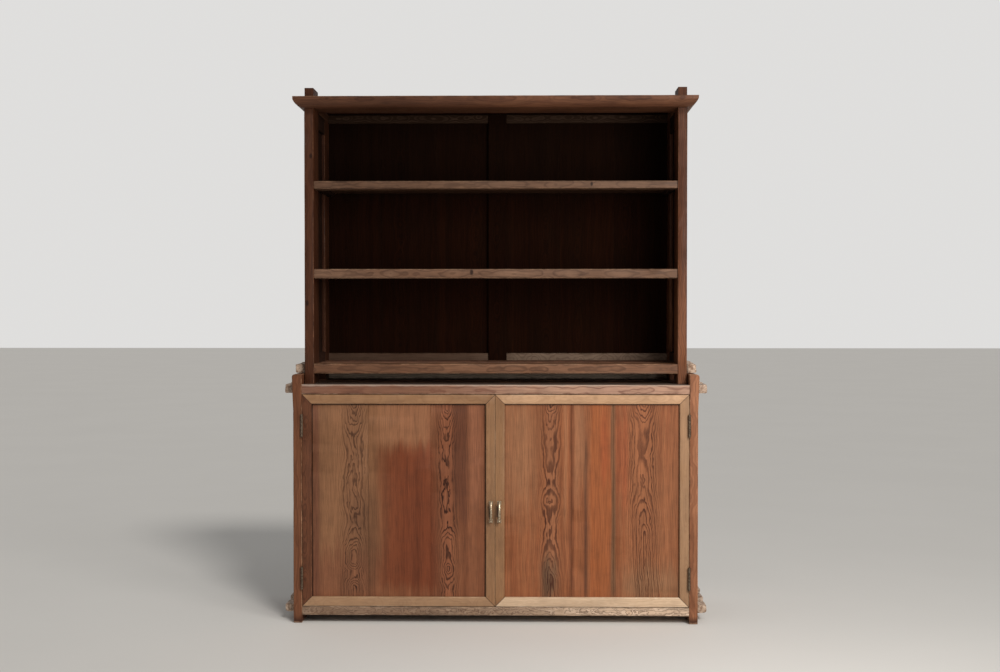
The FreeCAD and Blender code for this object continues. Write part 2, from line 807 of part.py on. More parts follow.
def build_upper_posts():
    mortise = through_mortise(upper_opening_half, upper_half, upper_front_tenon, upper_rail_span)
    shelf_mortises = [shelf_stub(z0, z1, joint_fit) for z0, z1 in shelf_spans]
    front = cut(upper_post(upper_front, upper_post_back), mortise, *shelf_mortises)
    save_upper("upper_front_left_post", [mirrored(front)])
    save_upper("upper_front_right_post", [front])
    rear_mortises = [
        through_mortise(upper_opening_half, upper_half, upper_rear_tenon, upper_rail_span),
        back_rail_stub(upper_section_bottom, back_bottom_rail_top, joint_fit),
        upper_back_panel(joint_fit),
    ]
    rear = cut(upper_post(upper_rear_post_front, back_y), *rear_mortises)
    save_upper("upper_rear_posts", both_sides(rear))


def build_upper_rails():
    boards = board_bays(upper_bays, upper_opening_half + joint_fit, upper_floor, joint_fit)
    end = upper_half + tenon_stand
    front_span = (upper_front, upper_post_back)
    front = tenoned_rail(upper_opening_half, front_span, upper_rail_span, upper_front_tenon, end)
    save_upper("upper_front_bottom_rail", [cut(front, *boards)])
    bearer_end = end + middle_tenon_extra
    bearer = tenoned_rail(upper_opening_half, upper_bearer, upper_rail_span, upper_bearer_tenon, bearer_end)
    save_upper("upper_middle_bearer", [cut(bearer, *boards)])
    rear_span = (upper_rear_post_front, back_frame_front)
    rear_end = end + rear_tenon_extra
    rear = tenoned_rail(upper_opening_half, rear_span, upper_rail_span, upper_rear_tenon, rear_end)
    save_upper("upper_rear_bottom_rail", [cut(rear, *boards)])
    save_upper("upper_floor_boards", board_bays(upper_bays, upper_opening_half - board_play, upper_floor, 0))


def build_upper_sides():
    rails = []
    for z_span, stub_z_span in zip(upper_side_rail_spans, upper_stub_spans):
        rail = side_rail(upper_opening_half, upper_half, upper_post_back, upper_rear_post_front,
                         z_span, stub_z_span)
        mortise = through_mortise(upper_opening_half, upper_half, upper_bearer_tenon, upper_rail_span)
        rails += both_sides(cut(rail, mortise, upper_side_panel(joint_fit)))
    save_upper("upper_side_rails", rails)
    save_upper("upper_side_panels", both_sides(upper_side_panel(0)))


def build_upper_back():
    bottom = block(-upper_opening_half, upper_opening_half, back_frame_front, back_y,
                   upper_section_bottom, back_bottom_rail_top)
    top = block(-upper_opening_half, upper_opening_half, back_frame_front, back_y,
                back_top_rail_bottom, back_top_rail_top)
    grooves = both_sides(upper_back_panel(joint_fit))
    stub = back_rail_stub(upper_section_bottom, back_bottom_rail_top, 0)
    bottom_rail = cut(union(eased(bottom, X_AXIS, edge_ease), stub), *grooves)
    save_upper("upper_back_bottom_rail", [bottom_rail])
    top_rail = cut(eased(top, X_AXIS, edge_ease), *grooves)
    save_upper("upper_back_top_rail", [top_rail])
    half = upper_muntin_width / 2
    muntin = block(-half, half, back_frame_front - upper_muntin_stand, back_y - upper_muntin_rear_step,
                   upper_floor, back_top_rail_top)
    muntin = eased(muntin, Z_AXIS, edge_ease)
    save_upper("upper_back_muntin", [cut(muntin, bottom, top, *grooves)])
    panel = upper_back_panel(0)
    boards = split_boards(panel, panel.BoundBox.XMin, panel.BoundBox.XMax, even_shares(back_board_count))
    save_upper("upper_back_boards", boards + [mirrored(board) for board in boards])


# Upper section: the moulded top
def bevel_cutter(length):
    rise = cornice_bevel
    middle = rise * (1 - cornice_bevel_bulge_share)
    lead = Vector(-overrun, 0, rise)
    start = Vector(0, 0, rise)
    bulge = Vector(middle, 0, middle)
    end = Vector(rise, 0, 0)
    tail = Vector(rise, 0, -overrun)
    corner = Vector(-overrun, 0, -overrun)
    outline = Part.Wire([
        Part.makeLine(lead, start),
        Part.Arc(start, bulge, end).toShape(),
        Part.makeLine(end, tail),
        Part.makeLine(tail, corner),
        Part.makeLine(corner, lead),
    ])
    return Part.Face(outline).extrude(Vector(0, length, 0))


cornice_half = upper_half + cornice_side_overhang
cornice_front = upper_front - cornice_front_overhang
cornice_back = cornice_front + cornice_depth


def side_bevel():
    cutter = bevel_cutter(back_y - cornice_front + overrun * 2)
    return cutter.translated(Vector(-cornice_half, cornice_front - overrun, cornice_bottom))


def front_bevel():
    cutter = bevel_cutter(cornice_half * 2 + overrun * 2)
    cutter = cutter.rotated(Vector(0, 0, 0), Z_AXIS, 90)
    return cutter.translated(Vector(cornice_half + overrun, cornice_front, cornice_bottom))


def ceiling_space(play):
    half = upper_opening_half + play
    low = cornice_top - ceiling_thickness - play
    return block(-half, half, cornice_back - ceiling_ledge - play, back_y + play, low, cornice_top + play)


def build_cornice():
    post_spans = ((upper_front, upper_post_back), (upper_rear_post_front, back_y))
    tenons = [post_tenon(y0, y1, joint_fit) for y0, y1 in post_spans]
    mortises = [shape for tenon in tenons for shape in both_sides(tenon)]
    board = block(-cornice_half, cornice_half, cornice_front, cornice_back, cornice_bottom, cornice_top)
    bevels = [front_bevel()] + both_sides(side_bevel())
    save_upper("front_cornice", [cut(board, *bevels, *mortises, ceiling_space(joint_fit))])
    side = block(upper_opening_half, cornice_half, cornice_back, back_y, cornice_bottom, cornice_top)
    side = cut(side, mirrored(side_bevel()), upper_back_panel(joint_fit), *mortises)
    save_upper("cornice_returns", both_sides(side))
    ceiling = ceiling_space(0).BoundBox
    half = upper_opening_half - board_play
    pitch = half * 2 / ceiling_board_count
    boards = [
        eased(block(-half + number * pitch, -half + (number + 1) * pitch, ceiling.YMin, ceiling.YMax,
                    ceiling.ZMin, ceiling.ZMax), Y_AXIS, board_joint_bevel)
        for number in range(ceiling_board_count)
    ]
    save_upper("ceiling_boards", boards)


def build_shelves():
    rails = []
    boards = []
    cleats = []
    rail_front = upper_front + shelf_front_setback
    rail_back = rail_front + shelf_front_depth
    board_back = back_frame_front - upper_muntin_stand - board_play
    half = upper_opening_half - board_play
    for z0, z1 in shelf_spans:
        rail = block(-upper_opening_half, upper_opening_half, rail_front, rail_back, z0, z1)
        rails.append(union(eased(rail, X_AXIS, edge_ease), shelf_stub(z0, z1, 0)))
        boards.append(block(-half, half, rail_back, board_back, z1 - shelf_board_thickness, z1))
        cleat = block(upper_opening_half - shelf_cleat_width, upper_opening_half, rail_back, board_back,
                      z1 - shelf_board_thickness - shelf_cleat_height, z1 - shelf_board_thickness)
        cleats += both_sides(cleat)
    save_upper("shelf_front_rails", rails)
    save_upper("shelf_boards", boards)
    save_upper("shelf_cleats", cleats)


build_base_frame()
build_base_sides()
build_base_back()
build_base_inside()
build_base_hinges()
build_doors()
build_upper_posts()
build_upper_rails()
build_upper_sides()
build_upper_back()
build_cornice()
build_shelves()
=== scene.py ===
import bisect
import json
import math
import random

import bmesh
import bpy
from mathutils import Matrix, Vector, noise

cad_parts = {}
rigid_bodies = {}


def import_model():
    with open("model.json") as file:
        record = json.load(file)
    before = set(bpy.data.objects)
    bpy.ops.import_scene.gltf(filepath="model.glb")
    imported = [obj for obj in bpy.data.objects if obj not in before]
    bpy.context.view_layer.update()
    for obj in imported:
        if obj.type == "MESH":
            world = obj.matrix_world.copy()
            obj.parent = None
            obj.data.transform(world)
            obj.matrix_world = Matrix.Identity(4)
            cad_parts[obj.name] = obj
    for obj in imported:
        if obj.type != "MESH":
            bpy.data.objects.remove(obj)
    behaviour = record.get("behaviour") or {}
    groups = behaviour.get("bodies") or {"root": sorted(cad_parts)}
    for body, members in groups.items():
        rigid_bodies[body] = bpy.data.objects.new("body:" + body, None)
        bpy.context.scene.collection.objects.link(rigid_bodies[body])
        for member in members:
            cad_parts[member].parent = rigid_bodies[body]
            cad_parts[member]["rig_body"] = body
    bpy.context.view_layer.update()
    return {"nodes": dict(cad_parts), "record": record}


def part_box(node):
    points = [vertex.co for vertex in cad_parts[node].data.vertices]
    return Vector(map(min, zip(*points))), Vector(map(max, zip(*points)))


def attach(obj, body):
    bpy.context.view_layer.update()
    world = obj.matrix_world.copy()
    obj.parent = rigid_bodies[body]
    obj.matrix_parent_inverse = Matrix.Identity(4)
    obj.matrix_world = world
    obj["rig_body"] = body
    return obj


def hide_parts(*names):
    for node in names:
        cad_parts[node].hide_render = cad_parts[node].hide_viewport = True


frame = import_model()
nodes = frame["nodes"]
node_body = {n: o["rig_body"] for n, o in nodes.items()}
slots = {part["node"]: part["material_slot"] for part in frame["record"]["subparts"]}


def srgb(r, g, b):
    """A screen colour of three numbers up to 255, as linear light."""
    def linear(v):
        v = v / 255
        return v / 12.92 if v <= 0.04045 else ((v + 0.055) / 1.055) ** 2.4
    return (linear(r), linear(g), linear(b), 1.0)


class Graph:
    """Short calls that add shader nodes. A value is a socket or a plain number."""

    def __init__(self, tree):
        self.tree = tree

    def add(self, kind, **settings):
        node = self.tree.nodes.new(kind)
        for key, value in settings.items():
            setattr(node, key, value)
        return node

    def put(self, value, socket):
        if isinstance(value, bpy.types.NodeSocket):
            self.tree.links.new(value, socket)
        else:
            socket.default_value = value

    def math(self, operation, *values, clamp=False):
        node = self.add("ShaderNodeMath", operation=operation, use_clamp=clamp)
        for value, socket in zip(values, node.inputs):
            self.put(value, socket)
        return node.outputs[0]

    def vector_math(self, operation, *values):
        node = self.add("ShaderNodeVectorMath", operation=operation)
        for value, socket in zip(values, node.inputs):
            self.put(value, socket)
        return node.outputs["Value" if operation == "DISTANCE" else "Vector"]

    def plus(self, a, b):
        return self.math("ADD", a, b)

    def minus(self, a, b):
        return self.math("SUBTRACT", a, b)

    def times(self, a, b):
        return self.math("MULTIPLY", a, b)

    def split(self, vector):
        node = self.add("ShaderNodeSeparateXYZ")
        self.put(vector, node.inputs[0])
        return node.outputs[0], node.outputs[1], node.outputs[2]

    def join(self, x, y, z):
        node = self.add("ShaderNodeCombineXYZ")
        for value, socket in zip((x, y, z), node.inputs):
            self.put(value, socket)
        return node.outputs[0]

    def attribute(self, name):
        return self.add("ShaderNodeAttribute", attribute_name=name).outputs["Vector"]

    def noise(self, vector, scale=1.0, detail=2.0, roughness=0.5):
        node = self.add("ShaderNodeTexNoise", noise_dimensions="3D")
        self.put(vector, node.inputs["Vector"])
        node.inputs["Scale"].default_value = scale
        node.inputs["Detail"].default_value = detail
        node.inputs["Roughness"].default_value = roughness
        return node.outputs[0]

    def noise_line(self, value, scale=1.0, detail=1.0):
        node = self.add("ShaderNodeTexNoise", noise_dimensions="1D")
        self.put(value, node.inputs["W"])
        node.inputs["Scale"].default_value = scale
        node.inputs["Detail"].default_value = detail
        return node.outputs[0]

    def drawn_noise(self, point, waves, detail=2.0, roughness=0.5, fine=None):
        """Noise with its own number of waves to the metre along each axis, all of them times fine."""
        stretched = [self.times(value, count) for value, count in zip(point, waves)]
        if fine is not None:
            stretched = [self.times(value, fine) for value in stretched]
        return self.noise(self.join(*stretched), 1.0, detail, roughness)

    def random_of(self, value):
        node = self.add("ShaderNodeTexWhiteNoise", noise_dimensions="1D")
        self.put(value, node.inputs["W"])
        return node.outputs[0]

    def swing(self, value, reach):
        """A noise, whose middle is 0.5, as a swing of up to half the reach to either side of zero."""
        return self.times(self.minus(value, 0.5), reach)

    def nudged(self, value, by, reach):
        return self.plus(value, self.swing(by, reach))

    def remap(self, shape, values):
        node = self.add("ShaderNodeMapRange", interpolation_type=shape)
        for value, name in zip(values, ("Value", "From Min", "From Max", "To Min", "To Max")):
            self.put(value, node.inputs[name])
        return node.outputs[0]

    def ease(self, value, low, high, to_low=0.0, to_high=1.0):
        return self.remap("SMOOTHSTEP", (value, low, high, to_low, to_high))

    def line(self, value, low, high, to_low=0.0, to_high=1.0):
        return self.remap("LINEAR", (value, low, high, to_low, to_high))

    def mix(self, factor, a, b, blend="MIX"):
        node = self.add("ShaderNodeMix", data_type="RGBA", blend_type=blend)
        self.put(factor, node.inputs[0])
        self.put(a, node.inputs[6])
        self.put(b, node.inputs[7])
        return node.outputs[2]

    def bump(self, height, strength, distance):
        node = self.add("ShaderNodeBump")
        node.inputs["Strength"].default_value = strength
        node.inputs["Distance"].default_value = distance
        self.put(height, node.inputs["Height"])
        return node.outputs[0]


# Noise waves to a metre of board: along it, across it and through it
KNOT_WAVES = (9.0, 34.0, 24.0)
RIPPLE_WAVES = (21.0, 85.0, 30.0)
SLOW_WAVES = (4.0, 30.0, 30.0)
BROAD_WAVES = (0.9, 24.0, 24.0)
NARROW_WAVES = (1.7, 105.0, 105.0)
PATCH_WAVES = (2.4, 9.0, 9.0)
FIBRE_WAVES = (14.0, 560.0, 560.0)
STAIN_WAVES = (4.0, 13.0, 13.0)

# The heart's own wander along the log, in waves to the metre, and how the rings crowd on the way out
SIDE_WAVES = 7.0
RISE_WAVES = 13.0
RISE_START = 31.7
RISE_SHARE = 1.2
CROWDING = 1.5


def ring_count(g, spot, figure, swirl, seed):
    """How many rings out from its log's heart a spot of the board lies."""
    across, through = spot[1:]
    curl, ring = figure[1:]
    spread, wave, fine = swirl
    knots = g.drawn_noise(spot, KNOT_WAVES, 3.0, 0.55, fine)
    ripple = g.drawn_noise(spot, RIPPLE_WAVES, 2.5, 0.55, fine)
    reach = g.math("SQRT", g.plus(g.times(across, across), g.times(through, through)))
    reach = g.nudged(reach, knots, g.times(curl, 2.0))
    near = g.ease(g.math("ABSOLUTE", across), g.times(spread, 0.8), g.times(spread, 2.0), 1.0, 0.2)
    reach = g.plus(reach, g.times(g.swing(ripple, wave), near))
    share = g.math("DIVIDE", reach, ring)
    count = g.plus(share, g.times(share, g.times(reach, CROWDING)))
    return g.nudged(count, g.noise_line(g.plus(count, seed), 0.4, 1.0), 1.3)


def late_wood(g, spot, count, spread, seed):
    """The dark part of each ring, strongest in the flames about the heart's line."""
    turn = g.math("FRACT", count)
    dark_from = g.ease(turn, 0.46, 0.82)
    dark_to = g.ease(turn, 0.90, 1.0, 1.0, 0.0)
    strength = g.line(g.random_of(g.plus(g.math("FLOOR", count), seed)), 0.0, 1.0, 0.60, 1.0)
    slow = g.ease(g.drawn_noise(spot, SLOW_WAVES), 0.30, 0.55, 0.7, 1.0)
    flame = g.ease(g.math("ABSOLUTE", spot[1]), g.times(spread, 0.5), g.times(spread, 1.6), 1.0, 0.15)
    return g.times(g.times(g.times(dark_from, dark_to), g.times(strength, slow)), flame)


def streaks_along(g, point):
    """Light and dark streaks along the board, the narrow ones in patches."""
    broad = g.drawn_noise(point, BROAD_WAVES, 3.0, 0.5)
    narrow = g.drawn_noise(point, NARROW_WAVES, 3.0, 0.55)
    patch = g.ease(g.drawn_noise(point, PATCH_WAVES), 0.35, 0.65, 0.15, 1.0)
    return g.plus(g.times(broad, 0.9), g.plus(g.times(g.swing(narrow, patch), 0.34), 0.05))


def edge_and_end(g, place):
    """How far a spot lies from the board's nearest edge, the middle of three distances, and from its end."""
    inward = g.vector_math("SUBTRACT", g.attribute("half"), g.vector_math("ABSOLUTE", place))
    end, side, face = g.split(inward)
    lower = g.math("MINIMUM", end, side)
    upper = g.math("MAXIMUM", end, side)
    return g.math("MAXIMUM", lower, g.math("MINIMUM", upper, face)), end


# The growth rings of a board, from where the board lay in its log
def grain_group():
    group = bpy.data.node_groups.new("board_grain", "ShaderNodeTree")
    for name in ("Late", "Band", "Streak", "Fibre", "Edge", "End"):
        group.interface.new_socket(name, in_out="OUTPUT", socket_type="NodeSocketFloat")
    group.interface.new_socket("Point", in_out="OUTPUT", socket_type="NodeSocketVector")
    g = Graph(group)
    place = g.attribute("place")
    own_along, own_across, own_through = g.split(place)
    seed, heart_across, heart_through = g.split(g.attribute("heart"))
    figure = g.split(g.attribute("figure"))
    swirl = g.split(g.attribute("swirl"))
    wander = figure[0]
    spread = swirl[0]
    along = g.plus(own_along, seed)
    side = g.swing(g.noise_line(along, SIDE_WAVES, 3.0), wander)
    rise = g.swing(g.noise_line(g.plus(along, RISE_START), RISE_WAVES, 2.0), wander)
    across = g.plus(g.minus(own_across, heart_across), side)
    through = g.plus(g.plus(own_through, heart_through), g.times(rise, RISE_SHARE))
    spot = (along, across, through)
    point = (along, own_across, own_through)
    count = ring_count(g, spot, figure, swirl, seed)
    from_seed = g.plus(count, seed)
    edge, end = edge_and_end(g, place)
    results = {
        "Late": late_wood(g, spot, count, spread, seed),
        "Band": g.plus(g.times(g.noise_line(from_seed, 0.16, 1.0), 0.6),
                       g.times(g.noise_line(from_seed, 0.55, 1.0), 0.4)),
        "Streak": streaks_along(g, point),
        "Fibre": g.drawn_noise(point, FIBRE_WAVES, 2.0, 0.6),
        "Edge": edge,
        "End": end,
        "Point": g.join(*point),
    }
    out = g.add("NodeGroupOutput")
    for name, value in results.items():
        g.put(value, out.inputs[name])
    return group


# A soft-edged area of a board's face, by place on the cabinet's front in metres
AREA_INPUTS = ("X0", "X1", "Soft X", "Z0", "Z1", "Soft Z")


def area_group():
    group = bpy.data.node_groups.new("soft_area", "ShaderNodeTree")
    for name in ("X", "Z") + AREA_INPUTS:
        group.interface.new_socket(name, in_out="INPUT", socket_type="NodeSocketFloat")
    group.interface.new_socket("Share", in_out="OUTPUT", socket_type="NodeSocketFloat")
    g = Graph(group)
    given = g.add("NodeGroupInput").outputs
    out = g.add("NodeGroupOutput")
    shares = []
    for axis in ("X", "Z"):
        at, low, high, soft = (given[name] for name in (axis, axis + "0", axis + "1", "Soft " + axis))
        begins = g.ease(at, g.minus(low, soft), g.plus(low, soft))
        ends = g.ease(at, g.minus(high, soft), g.plus(high, soft), 1.0, 0.0)
        shares.append(g.times(begins, ends))
    g.put(g.times(*shares), out.inputs["Share"])
    return group


GRAIN = grain_group()
AREA = area_group()

# Colours that every wood shares, as the photo shows them
KNOT_DARK = (34, 18, 12)
# Feet: grime and painted shade below the posts' ends, and the sole lighter again below that shade
FOOT_GRIME_AND_SHADE = (46, 22, 14)
SOLE_BELOW_SHADE = (150, 118, 96)
TENON_GREY = (128, 102, 84)
TENON_PALE = (204, 182, 162)
# Painted shadow on a tenon next to the post it comes out of
TENON_ROOT_SHADOW = (30, 18, 12)
# Grime and painted shadow along a panel where the door's frame stands before it
BORDER_GRIME_AND_SHADOW = (34, 17, 9)
MITRE_SHADE = (48, 28, 16)


class WoodPaint:
    """The colour of one wood, laid on layer by layer. Places and lengths are in metres, shares go up to 1."""

    def __init__(self, g, early, streak, streaks):
        self.g = g
        self.grain = g.add("ShaderNodeGroup", node_tree=GRAIN).outputs
        self.point = self.grain["Point"]
        self.seat = g.add("ShaderNodeTexCoord").outputs["Object"]
        self.x, self.y, self.z = g.split(self.seat)
        self.blotch = g.noise(self.point, 26.0, 4.0, 0.6)
        self.ragged = g.noise(self.point, 95.0, 3.0, 0.6)
        self.ring = self.grain["Late"]
        self.fibre = g.ease(self.grain["Fibre"], 0.35, 0.75)
        band = g.ease(self.grain["Band"], 0.36, 0.64)
        self.color = g.mix(g.times(band, streaks), srgb(*early), srgb(*streak))

    def lay(self, share, tint, blend="MIX"):
        self.color = self.g.mix(share, self.color, srgb(*tint), blend)

    def stain(self, tint, share):
        g = self.g
        cloud = g.drawn_noise(g.split(self.point), STAIN_WAVES, 3.0, 0.55)
        self.lay(g.times(g.ease(cloud, 0.44, 0.62), share), tint)

    def areas(self, areas):
        g = self.g
        drift = g.drawn_noise((self.x, self.y, self.z), (18.0, 18.0, 3.0), 3.0)
        lift = g.drawn_noise((self.x, 0.0, self.z), (60.0, 0.0, 5.0))
        most_drift = 0.05
        for *sides, tint, share in areas:
            area = g.add("ShaderNodeGroup", node_tree=AREA)
            for value, key in zip(sides, AREA_INPUTS):
                area.inputs[key].default_value = value
            soft_x, soft_z = sides[2], sides[5]
            g.put(g.nudged(self.x, drift, min(most_drift, soft_x * 2.5)), area.inputs["X"])
            g.put(g.nudged(self.z, lift, soft_z * 3.0), area.inputs["Z"])
            self.lay(g.times(area.outputs[0], share), tint)

    def outside(self, axis, level, tint):
        """The tint of a face that looks out of the cabinet, past a level of |x|, y or z."""
        g = self.g
        soft = 0.0006
        reach = {"x": g.math("ABSOLUTE", self.x), "y": self.y, "z": self.z}[axis]
        self.lay(g.ease(reach, level - soft, level + soft, 0.0, 0.92), tint)

    def rings(self, late, contrast):
        self.lay(self.g.times(self.ring, contrast), late)

    def fibres(self, dirt, share):
        self.lay(self.g.times(self.fibre, share), dirt, "MULTIPLY")
        self.lay(self.g.ease(self.blotch, 0.34, 0.80, 0.0, 0.16), dirt)

    def knot(self, x, y, z, radius):
        g = self.g
        squash = (1.0, 1.0, 0.55)
        middle = (x, y, z * squash[2])
        gap = g.vector_math("DISTANCE", g.vector_math("MULTIPLY", self.seat, squash), middle)
        rim = g.nudged(gap, self.blotch, radius * 0.6)
        self.lay(g.ease(rim, radius * 0.4, radius, 0.85, 0.0), KNOT_DARK)

    def dirty_corners(self, dirt, share, reach):
        g = self.g
        corner = g.ease(g.nudged(self.grain["Edge"], self.ragged, reach), 0.0, reach, 1.0, 0.0)
        self.lay(g.times(g.times(corner, g.ease(self.blotch, 0.38, 0.62)), share), dirt)

    def worn_edges(self, tint, share):
        g = self.g
        patchy = g.ease(g.noise(self.point, 17.0, 3.0, 0.6), 0.38, 0.62)
        rubbed = g.ease(g.nudged(self.grain["Edge"], self.ragged, 0.004), 0.0003, 0.0026, 1.0, 0.0)
        self.lay(g.times(g.times(rubbed, patchy), share), tint)

    def ledge(self, level, tint, share, upward_shade):
        """A pale band just below a level, part worn edge and part painted highlight, and painted shade on the
        face that looks up.
        """
        g = self.g
        high = g.ease(g.nudged(self.z, self.blotch, 0.010), level - 0.007, level - 0.001)
        self.lay(g.times(high, share), tint)
        upward = g.split(g.add("ShaderNodeNewGeometry").outputs["True Normal"])[2]
        self.lay(g.ease(upward, 0.6, 0.9, 0.0, 0.75), upward_shade)

    def feet(self, height):
        g = self.g
        # Grime and painted shade under the post's end, then the lowest millimetres lighter again below that
        # shade
        low = g.ease(g.nudged(self.z, self.blotch, 0.012), 0.006, height, 1.0, 0.0)
        self.lay(g.times(low, 0.80), FOOT_GRIME_AND_SHADE)
        sole = g.ease(g.nudged(self.z, self.ragged, 0.008), 0.002, 0.006, 1.0, 0.0)
        self.lay(g.times(sole, 0.65), SOLE_BELOW_SHADE)

    def tenon(self, length):
        g = self.g
        end = g.nudged(self.grain["End"], self.blotch, 0.004)
        out = g.ease(end, length - 0.004, length, 1.0, 0.0)
        lump = g.noise(self.point, 120.0, 4.0, 0.65)
        bleached = g.mix(g.ease(lump, 0.36, 0.62), srgb(*TENON_GREY), srgb(*TENON_PALE))
        self.color = g.mix(g.times(out, 0.85), self.color, bleached)
        # Painted shadow of the post on the tenon, just outside the post
        root = g.ease(end, length - 0.010, length - 0.003)
        self.lay(g.times(g.times(root, out), 0.75), TENON_ROOT_SHADOW)

    def border_grime_and_shadow(self, x0, x1, z1, width, shares):
        """Grime and painted shadow of the frame along the left, right and top side of a panel, each with its
        own share.
        """
        g = self.g
        gaps = (g.minus(self.x, x0), g.minus(x1, self.x), g.minus(z1, self.z))
        for gap, share in zip(gaps, shares):
            gap = g.nudged(gap, self.ragged, width * 0.5)
            self.lay(g.ease(gap, width * 0.4, width, share, 0.0), BORDER_GRIME_AND_SHADOW)

    def mitre(self, x0, x1, z0, z1, width):
        """The joint lines from a door's corners, alike on both doors."""
        g = self.g
        aside = g.math("ABSOLUTE", self.x)
        from_side = g.math("MINIMUM", g.minus(aside, x0), g.minus(x1, aside))
        from_end = g.math("MINIMUM", g.minus(self.z, z0), g.minus(z1, self.z))
        gap = g.math("ABSOLUTE", g.minus(from_side, from_end))
        self.lay(g.ease(gap, width * 0.35, width, 0.85, 0.0), MITRE_SHADE)

    def strokes(self, drawn):
        """The streaks' light, and each board's own light and redness."""
        g = self.g
        own_light, own_red = g.split(g.attribute("tone"))[1:]
        strokes = g.line(self.grain["Streak"], 0.25, 0.75, 1.0 - drawn, 1.0 + drawn)
        level = g.times(own_light, strokes)
        blue = g.line(own_red, 0.7, 1.1, 1.39, 0.87)
        light = g.join(g.times(level, own_red), level, g.times(level, blue))
        self.color = g.mix(1.0, self.color, light, "MULTIPLY")


def new_material(name):
    material = bpy.data.materials.new(name)
    material.use_nodes = True
    return material, Graph(material.node_tree), material.node_tree.nodes["Principled BSDF"].inputs


def wood(name, early, streak, late, contrast=0.8, streaks=0.7, stain=None, stain_share=0.5, wear=None,
         wear_share=0.6, dirt=(38, 24, 16), dirt_share=0.5, dirt_reach=0.006, rough=0.52, areas=(),
         relief=0.00025, knots=(), feet=0.0, fibre_share=0.35, drawn=0.16, border_grime_and_shadow=None, mitre=None,
         tenon=0.0, gloss=0.35, ledge=None, outside=None):
    """A wood from the colours of its early wood, streaks and late wood, and from the layers named."""
    material, g, shader = new_material(name)
    paint = WoodPaint(g, early, streak, streaks)
    if stain:
        paint.stain(stain, stain_share)
    if areas:
        paint.areas(areas)
    if outside:
        paint.outside(*outside)
    paint.rings(late, contrast)
    paint.fibres(dirt, fibre_share)
    for knot in knots:
        paint.knot(*knot)
    paint.dirty_corners(dirt, dirt_share, dirt_reach)
    if wear:
        paint.worn_edges(wear, wear_share)
    if ledge:
        paint.ledge(*ledge)
    if feet:
        paint.feet(feet)
    if tenon:
        paint.tenon(tenon)
    if border_grime_and_shadow:
        paint.border_grime_and_shadow(*border_grime_and_shadow)
    if mitre:
        paint.mitre(*mitre)
    paint.strokes(drawn)
    g.put(paint.color, shader["Base Color"])
    sheen = g.plus(g.times(paint.ring, -0.08), g.swing(paint.blotch, 0.35))
    g.put(g.math("ADD", sheen, rough, clamp=True), shader["Roughness"])
    height = g.plus(paint.ring, g.times(paint.fibre, -0.35))
    g.put(g.bump(height, 0.55, relief), shader["Normal"])
    shader["Specular IOR Level"].default_value = gloss
    return material


def metal(name, bright, dull, dark, rough, tarnish, shaded_side=None):
    """An old metal. Its left side between two heights can be darkened with painted shade, the side turned
    away from the light.
    """
    material, g, shader = new_material(name)
    coords = g.add("ShaderNodeTexCoord").outputs
    cloud = g.noise(coords["Object"], 240.0, 4.0, 0.6)
    spots = g.noise(coords["Object"], 900.0, 3.0, 0.7)
    color = g.mix(g.ease(cloud, 0.40, 0.62, 0.0, tarnish), srgb(*bright), srgb(*dull))
    color = g.mix(g.ease(spots, 0.56, 0.70, 0.0, 0.8), color, srgb(*dark))
    if shaded_side:
        # Painted shade on the left side of the handle, turned away from the light
        low, high, share = shaded_side
        aside = g.ease(g.split(coords["Normal"])[0], -0.70, -0.10, 1.0, 0.0)
        z = g.split(coords["Object"])[2]
        below = g.times(g.ease(z, low - 0.003, low + 0.003), g.ease(z, high - 0.006, high + 0.006, 1.0, 0.0))
        color = g.mix(g.times(g.times(aside, below), share), color, srgb(*dark))
    g.put(color, shader["Base Color"])
    shader["Metallic"].default_value = 1.0
    g.put(g.ease(cloud, 0.3, 0.7, rough - 0.1, rough + 0.2), shader["Roughness"])
    g.put(g.bump(spots, 0.3, 0.0001), shader["Normal"])
    return material


# Areas of colour, each as x from and to, softness, z from and to, softness, colour and share
LEFT_PANEL_AREAS = (
    (-0.560, -0.300, 0.050, 0.080, 0.700, 0.050, (140, 100, 70), 0.80),
    (-0.560, -0.330, 0.040, 0.060, 0.220, 0.070, (122, 72, 50), 0.60),
    (-0.350, -0.190, 0.022, 0.540, 0.700, 0.022, (152, 106, 76), 0.75),
    (-0.345, -0.175, 0.030, 0.100, 0.525, 0.030, (112, 54, 30), 0.80),
    (-0.405, -0.350, 0.024, 0.150, 0.390, 0.070, (98, 66, 46), 0.48),
    (-0.430, -0.395, 0.020, 0.280, 0.370, 0.050, (80, 54, 40), 0.50),
    (-0.125, -0.085, 0.012, 0.330, 0.700, 0.070, (102, 60, 42), 0.75),
    (-0.078, -0.045, 0.010, 0.330, 0.690, 0.060, (160, 104, 76), 0.55),
    (-0.550, -0.530, 0.008, 0.060, 0.700, 0.050, (112, 68, 50), 0.70),
    (-0.455, -0.400, 0.012, 0.060, 0.700, 0.050, (134, 90, 64), 0.30),
    (-0.162, -0.128, 0.006, 0.060, 0.700, 0.050, (152, 92, 64), 0.45),
)
